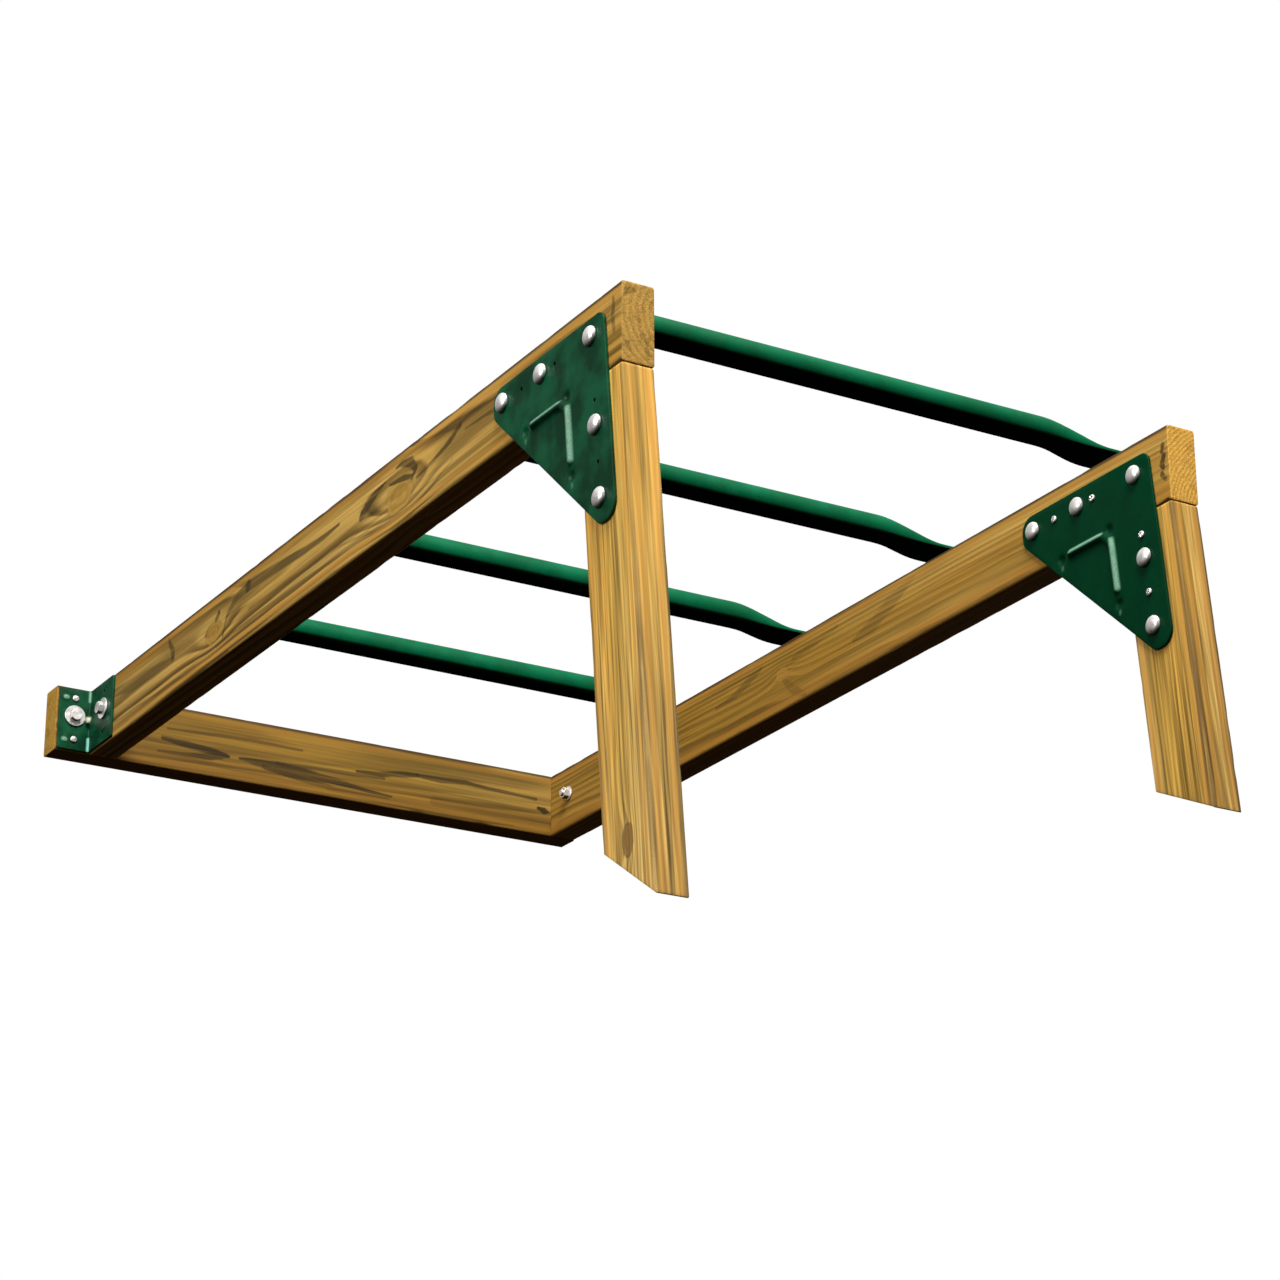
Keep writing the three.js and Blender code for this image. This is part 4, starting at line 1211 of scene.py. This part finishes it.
def fasteners(material):
    spin = spins()

    def put(node, way, solid, head_height=0):
        place_fastener(node, way, solid, head_height, material, next(spin))

    def put_long(node, way, make, head_height):
        put(node, way, make(fastener_length(node, way, head_height)), head_height)

    for side in ("left", "right"):
        for k in range(1, 6):
            put_long(f"gusset_{side}_bolt_{k}", "+x", domed_bolt, HEAD_H)
            put(f"gusset_{side}_nut_{k}", "+x", flange_nut())
        for i in range(1, 5):
            put_long(f"rung_{i}_lag_{side}", "-z", lag, LAG_HEX_H)
    for k in range(1, 5):
        put_long(f"gusset_right_screw_{k}", "+x", pan_screw, SCREW_HEAD_H)
    for way, name in (("+x", "bracket_rail"), ("-x", "rear_right")):
        put_long(name + "_bolt", way, hex_bolt, HEX_H)
        put(name + "_washer", way, washer(), WASHER_T)
        put(name + "_nut", way, flange_nut())
    put_long("bracket_beam_lag", "+y", beam_lag, HEX_H)
    put("bracket_beam_washer", "+y", washer(), WASHER_T)
    for place in ("upper", "lower"):
        put_long("bracket_screw_" + place, "+y", pan_screw, SCREW_HEAD_H)


# ---------- metal finishes ----------

PLATE_DARK = (0.0, 0.032, 0.011)
PLATE_DEEP = (0.0, 0.038, 0.013)
PLATE_LIGHT = (0.003, 0.082, 0.032)
# Painted light: a mint highlight, a cyan glint, a cream highlight and near-black painted shade.
PAINTED_HIGHLIGHT_MINT = (0.230, 0.460, 0.320)
PAINTED_GLINT_CYAN = (0.300, 0.800, 0.640)
PAINTED_HIGHLIGHT_CREAM = (0.900, 0.860, 0.640)
PAINTED_SHADE = (0.0, 0.006, 0.003)
PAINT_DUST = (0.012, 0.13, 0.07)
TUBE_DARK = (0.0, 0.100, 0.037)
TUBE_LIGHT = (0.0, 0.135, 0.053)


def powder_coat(name, dark, light, roughness, peel, gloss, painted_light=(), underside=None):
    """Baked green paint: an orange-peel skin, a little dust, uneven gloss, painted highlights and painted
    shade.

    A painted mark is (colour, share, near point, far point, half width), laid along the line between its
    points.
    The painted shade on the undersides begins where the skin turns down past the first number and is full
    at the second.
    """
    g = Graph(name)
    spot = g.coords.outputs["Object"]
    cloud = g.noise(spot, 22, 3, 0.55)
    speck = g.noise(spot, 700, 2, 0.6)
    color = g.mix(g.span(cloud, 0.36, 0.66), dark, light)
    color = g.mix(g.mul(g.span(speck, 0.60, 0.74), 0.2), color, PAINT_DUST)
    for tone, share, near, far, half_width in painted_light:
        _, distance = g.from_line(spot, near, far)
        reach = g.math("DIVIDE", distance, half_width)
        painted_mark = g.mul(g.span(reach, 0.35, 1.1, 1.0, 0.0), g.span(speck, 0.30, 0.60, 0.55, 1.0), share)
        color = g.mix(painted_mark, color, tone)
    # Painted shade where the surface turns down, with its gloss taken away there.
    if underside:
        down = g.facing_down()
        color = g.mix(g.span(down, *underside), color, PAINTED_SHADE)
        g.set("Specular IOR Level", g.span(down, *underside, gloss, 0.0))
    g.set("Base Color", color)
    g.set("Roughness", g.span(g.noise(spot, 60, 3, 0.6), 0.3, 0.7, roughness - 0.06, roughness + 0.10))
    g.set("Normal", g.bump(g.noise(spot, 380, 2, 0.5), 0.0004, peel))
    g.shader.inputs["Specular IOR Level"].default_value = gloss
    return g.material


def plate_paint(name, light, gloss, painted_light):
    return powder_coat(name, PLATE_DARK, light, 0.36, 0.16, gloss, painted_light)


def rib_painted_light(node, corner_node):
    """Painted highlights on the rib's upper and front slopes, with painted shade under it."""
    corner = node_middle(corner_node)
    low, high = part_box(node)
    face_x = low.x if low.x < corner.x else high.x

    def on_plate(u, v, back, up):
        y, z = plate_place(u, v)
        return Vector((face_x, corner.y + y + back, corner.z + z + up))

    slope = 3.6 * MM
    arm_a = on_plate(RIB_END, RIB_OFFSET, 0, slope), on_plate(RIB_OFFSET + 14 * MM, RIB_OFFSET, 0, slope)
    arm_b = on_plate(RIB_OFFSET, RIB_OFFSET + 8 * MM, -slope, 0), on_plate(RIB_OFFSET, RIB_END, -slope, 0)
    under = on_plate(RIB_END, RIB_OFFSET, 0, -slope), on_plate(RIB_OFFSET + 14 * MM, RIB_OFFSET, 0, -slope)
    painted_light = [(PAINTED_HIGHLIGHT_MINT, 0.75, *arm_a, 4.5 * MM), (PAINTED_HIGHLIGHT_MINT, 0.8, *arm_b, 5 * MM)]
    painted_light.append((PAINTED_SHADE, 0.85, *under, 4.5 * MM))
    # Painted shade on each dimple's upper wall, and a painted highlight on the lower wall of the dimples at
    # the arms' ends.
    for u, v in DIMPLES:
        top, bottom = on_plate(u, v, 0, 2 * MM), on_plate(u, v, -MM, -9 * MM)
        painted_light.append((PAINTED_SHADE, 0.95, top, top + Y_AXIS * MM, 6.5 * MM))
        if max(u, v) > RIB_END:
            painted_light.append((PAINTED_HIGHLIGHT_MINT, 0.8, bottom, bottom - Z_AXIS * 2 * MM, 5 * MM))
    return painted_light


def bracket_painted_light():
    """Painted highlights and glint along the bracket's fold, on its dart and on its small pressed dimples,
    with painted shade under the dart.
    """
    low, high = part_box("corner_bracket")
    fold = Vector((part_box("rail_left")[0].x - 3.8 * MM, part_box("cross_beam")[0].y - 3.8 * MM, 0))
    dart = fold + Vector((-3 * MM, -3 * MM, 3 * MM))
    painted_light = [
        (PAINTED_HIGHLIGHT_MINT, 0.9, fold + Z_AXIS * (high.z - 3 * MM), fold + Z_AXIS * (high.z - 14 * MM), 3 * MM),
        (PAINTED_GLINT_CYAN, 1.0, fold + Z_AXIS * (low.z + 2 * MM), fold + Z_AXIS * (low.z + 17 * MM), 3.2 * MM),
        (PAINTED_HIGHLIGHT_CREAM, 0.95, dart, dart + Vector((-2, -2, -3)) * MM, 5 * MM),
        (PAINTED_SHADE, 0.9, dart - Z_AXIS * 9 * MM, dart - Z_AXIS * 12 * MM, 4 * MM),
    ]
    boss_x = low.x + 8 * MM
    for z in (29 * MM, -29 * MM):
        spot = Vector((boss_x, fold.y, z))
        painted_light.append((PAINTED_HIGHLIGHT_MINT, 0.8, spot, spot + X_AXIS * 3 * MM, 3.5 * MM))
    return painted_light


def bright_zinc():
    """Zinc plate: slightly warm, clouded, with faint handling marks and painted shade on its undersides."""
    g = Graph("bright_zinc")
    spot = g.coords.outputs["Object"]
    cloud = g.noise(spot, 160, 3, 0.6)
    mark = g.noise(g.vector("MULTIPLY", spot, (1.0, 3.0, 1.0)), 900, 2, 0.6)
    color = g.mix(g.span(cloud, 0.34, 0.66), (0.80, 0.765, 0.755), (0.95, 0.92, 0.90))
    color = g.mix(g.mul(g.span(mark, 0.60, 0.74), 0.35), color, (0.42, 0.39, 0.37))
    # Painted shade: the colour goes near black where the surface turns down.
    color = g.mix(g.span(g.facing_down(), 0.15, 0.80, 0.0, 0.9), color, (0.03, 0.025, 0.02))
    g.set("Base Color", color)
    g.set("Roughness", g.span(cloud, 0.3, 0.7, 0.27, 0.40))
    g.set("Normal", g.bump(mark, 0.0001, 0.12))
    g.shader.inputs["Metallic"].default_value = 0.55
    return g.material


# ---------- painted pieces ----------


def rungs():
    # The tube paint goes near black where its skin turns down: painted shade.
    paint = powder_coat("tube_green", TUBE_DARK, TUBE_LIGHT, 0.44, 0.10, 0.12, (), (0.32, 0.54))
    for number in range(1, 5):
        rung(f"rung_{number}", paint)


def gussets():
    """A plate on each face of both joints. The left ones are lighter, as in the photo."""
    for side, light, gloss, layers in (
        ("left", PLATE_LIGHT, 0.14, (("outer", -1), ("inner", 1))),
        ("right", PLATE_DEEP, 0.06, (("inner", -1), ("outer", 1))),
    ):
        for layer, face in layers:
            plate = f"gusset_{side}_{layer}"
            corner_bolt = f"gusset_{side}_bolt_1"
            paint = plate_paint(plate + "_paint", light, gloss, rib_painted_light(plate, corner_bolt))
            gusset(plate, face, corner_bolt, paint)


# ---------- stage ----------

# The camera stands below and to the left of the climber's end and looks up along the rails.
CAMERA_PLACE = Vector((-1.947, -4.1127, -1.5485))
CAMERA_AZIMUTH = math.radians(-30.67)
CAMERA_PITCH = math.radians(21.07)
CAMERA_ROLL = math.radians(-0.19)
LENS = 98.99
FLOOR_Z = -1.95
FLOOR_HALF = 30


def camera():
    data = bpy.data.cameras.new("camera")
    data.lens = LENS
    data.sensor_width = 36
    obj = bpy.data.objects.new("camera", data)
    bpy.context.collection.objects.link(obj)
    obj.location = CAMERA_PLACE
    turn = Euler((math.pi / 2 + CAMERA_PITCH, 0, CAMERA_AZIMUTH), "XYZ").to_matrix()
    obj.rotation_euler = (turn @ Matrix.Rotation(CAMERA_ROLL, 3, "Z")).to_euler()
    bpy.context.scene.camera = obj


def softbox(name, direction, distance, size, power, color=(1, 1, 1)):
    """A square lamp that looks at the object's middle from a direction."""
    low, high = Vector(cad_box[0]), Vector(cad_box[1])
    data = bpy.data.lights.new(name, "AREA")
    data.size = size
    data.energy = power
    data.color = color
    obj = bpy.data.objects.new(name, data)
    bpy.context.collection.objects.link(obj)
    away = Vector(direction).normalized()
    obj.location = (low + high) / 2 + away * distance
    obj.rotation_euler = away.to_track_quat("Z", "Y").to_euler()


def floor():
    mesh = bpy.data.meshes.new("floor")
    corners = [(x * FLOOR_HALF, y * FLOOR_HALF, FLOOR_Z) for x, y in ((-1, -1), (1, -1), (1, 1), (-1, 1))]
    mesh.from_pydata(corners, [], [(0, 1, 2, 3)])
    obj = bpy.data.objects.new("floor", mesh)
    bpy.context.collection.objects.link(obj)
    g = Graph("pale_floor")
    dust = g.noise(g.coords.outputs["Object"], 3, 4, 0.6)
    g.set("Base Color", g.mix(g.span(dust, 0.3, 0.7), (0.755, 0.755, 0.75), (0.775, 0.775, 0.77)))
    g.shader.inputs["Roughness"].default_value = 0.9
    mesh.materials.append(g.material)
    obj.visible_diffuse = False
    obj.visible_glossy = False


def world():
    """A white backdrop to the eye, and a soft sky that leaves the undersides dark."""
    made = bpy.data.worlds.new("studio")
    made.use_nodes = True
    tree = made.node_tree
    tree.nodes.clear()

    def node(kind, *sources):
        """A new node with its first inputs linked to the sources."""
        new = tree.nodes.new("ShaderNode" + kind)
        for socket, source in zip(new.inputs, sources):
            tree.links.new(source, socket)
        return new

    direction = node("TexCoord").outputs["Generated"]
    height = node("MapRange", node("SeparateXYZ", direction).outputs["Z"])
    height.inputs["From Min"].default_value = -1
    ramp = node("ValToRGB", height.outputs[0])
    stops = ramp.color_ramp.elements
    stops[0].position, stops[0].color = 0.50, (0.018, 0.013, 0.008, 1)
    stops[1].position, stops[1].color = 0.92, (0.36, 0.36, 0.36, 1)
    sky = node("Background", ramp.outputs[0])
    white = node("Background")
    white.inputs["Color"].default_value = (1, 1, 1, 1)
    to_eye = node("LightPath").outputs["Is Camera Ray"]
    chosen = node("MixShader", to_eye, sky.outputs[0], white.outputs[0])
    node("OutputWorld", chosen.outputs[0])
    bpy.context.scene.world = made


def lamps():
    softbox("key", (-0.15, -0.50, 0.85), 3.5, 1.7, 195, (1.0, 0.98, 0.95))
    softbox("side", (-1.0, -0.25, 0.35), 4.0, 2.4, 100)
    softbox("far_side", (1.0, 0.35, 0.25), 4.0, 2.4, 45)


camera()
world()
lamps()
floor()
boards()
rungs()
gussets()
# The bracket's paint carries painted highlights and painted shade.
bracket(plate_paint("bracket_paint", PLATE_LIGHT, 0.18, bracket_painted_light()))
fasteners(bright_zinc())

bpy.context.scene.view_settings.view_transform = "Standard"
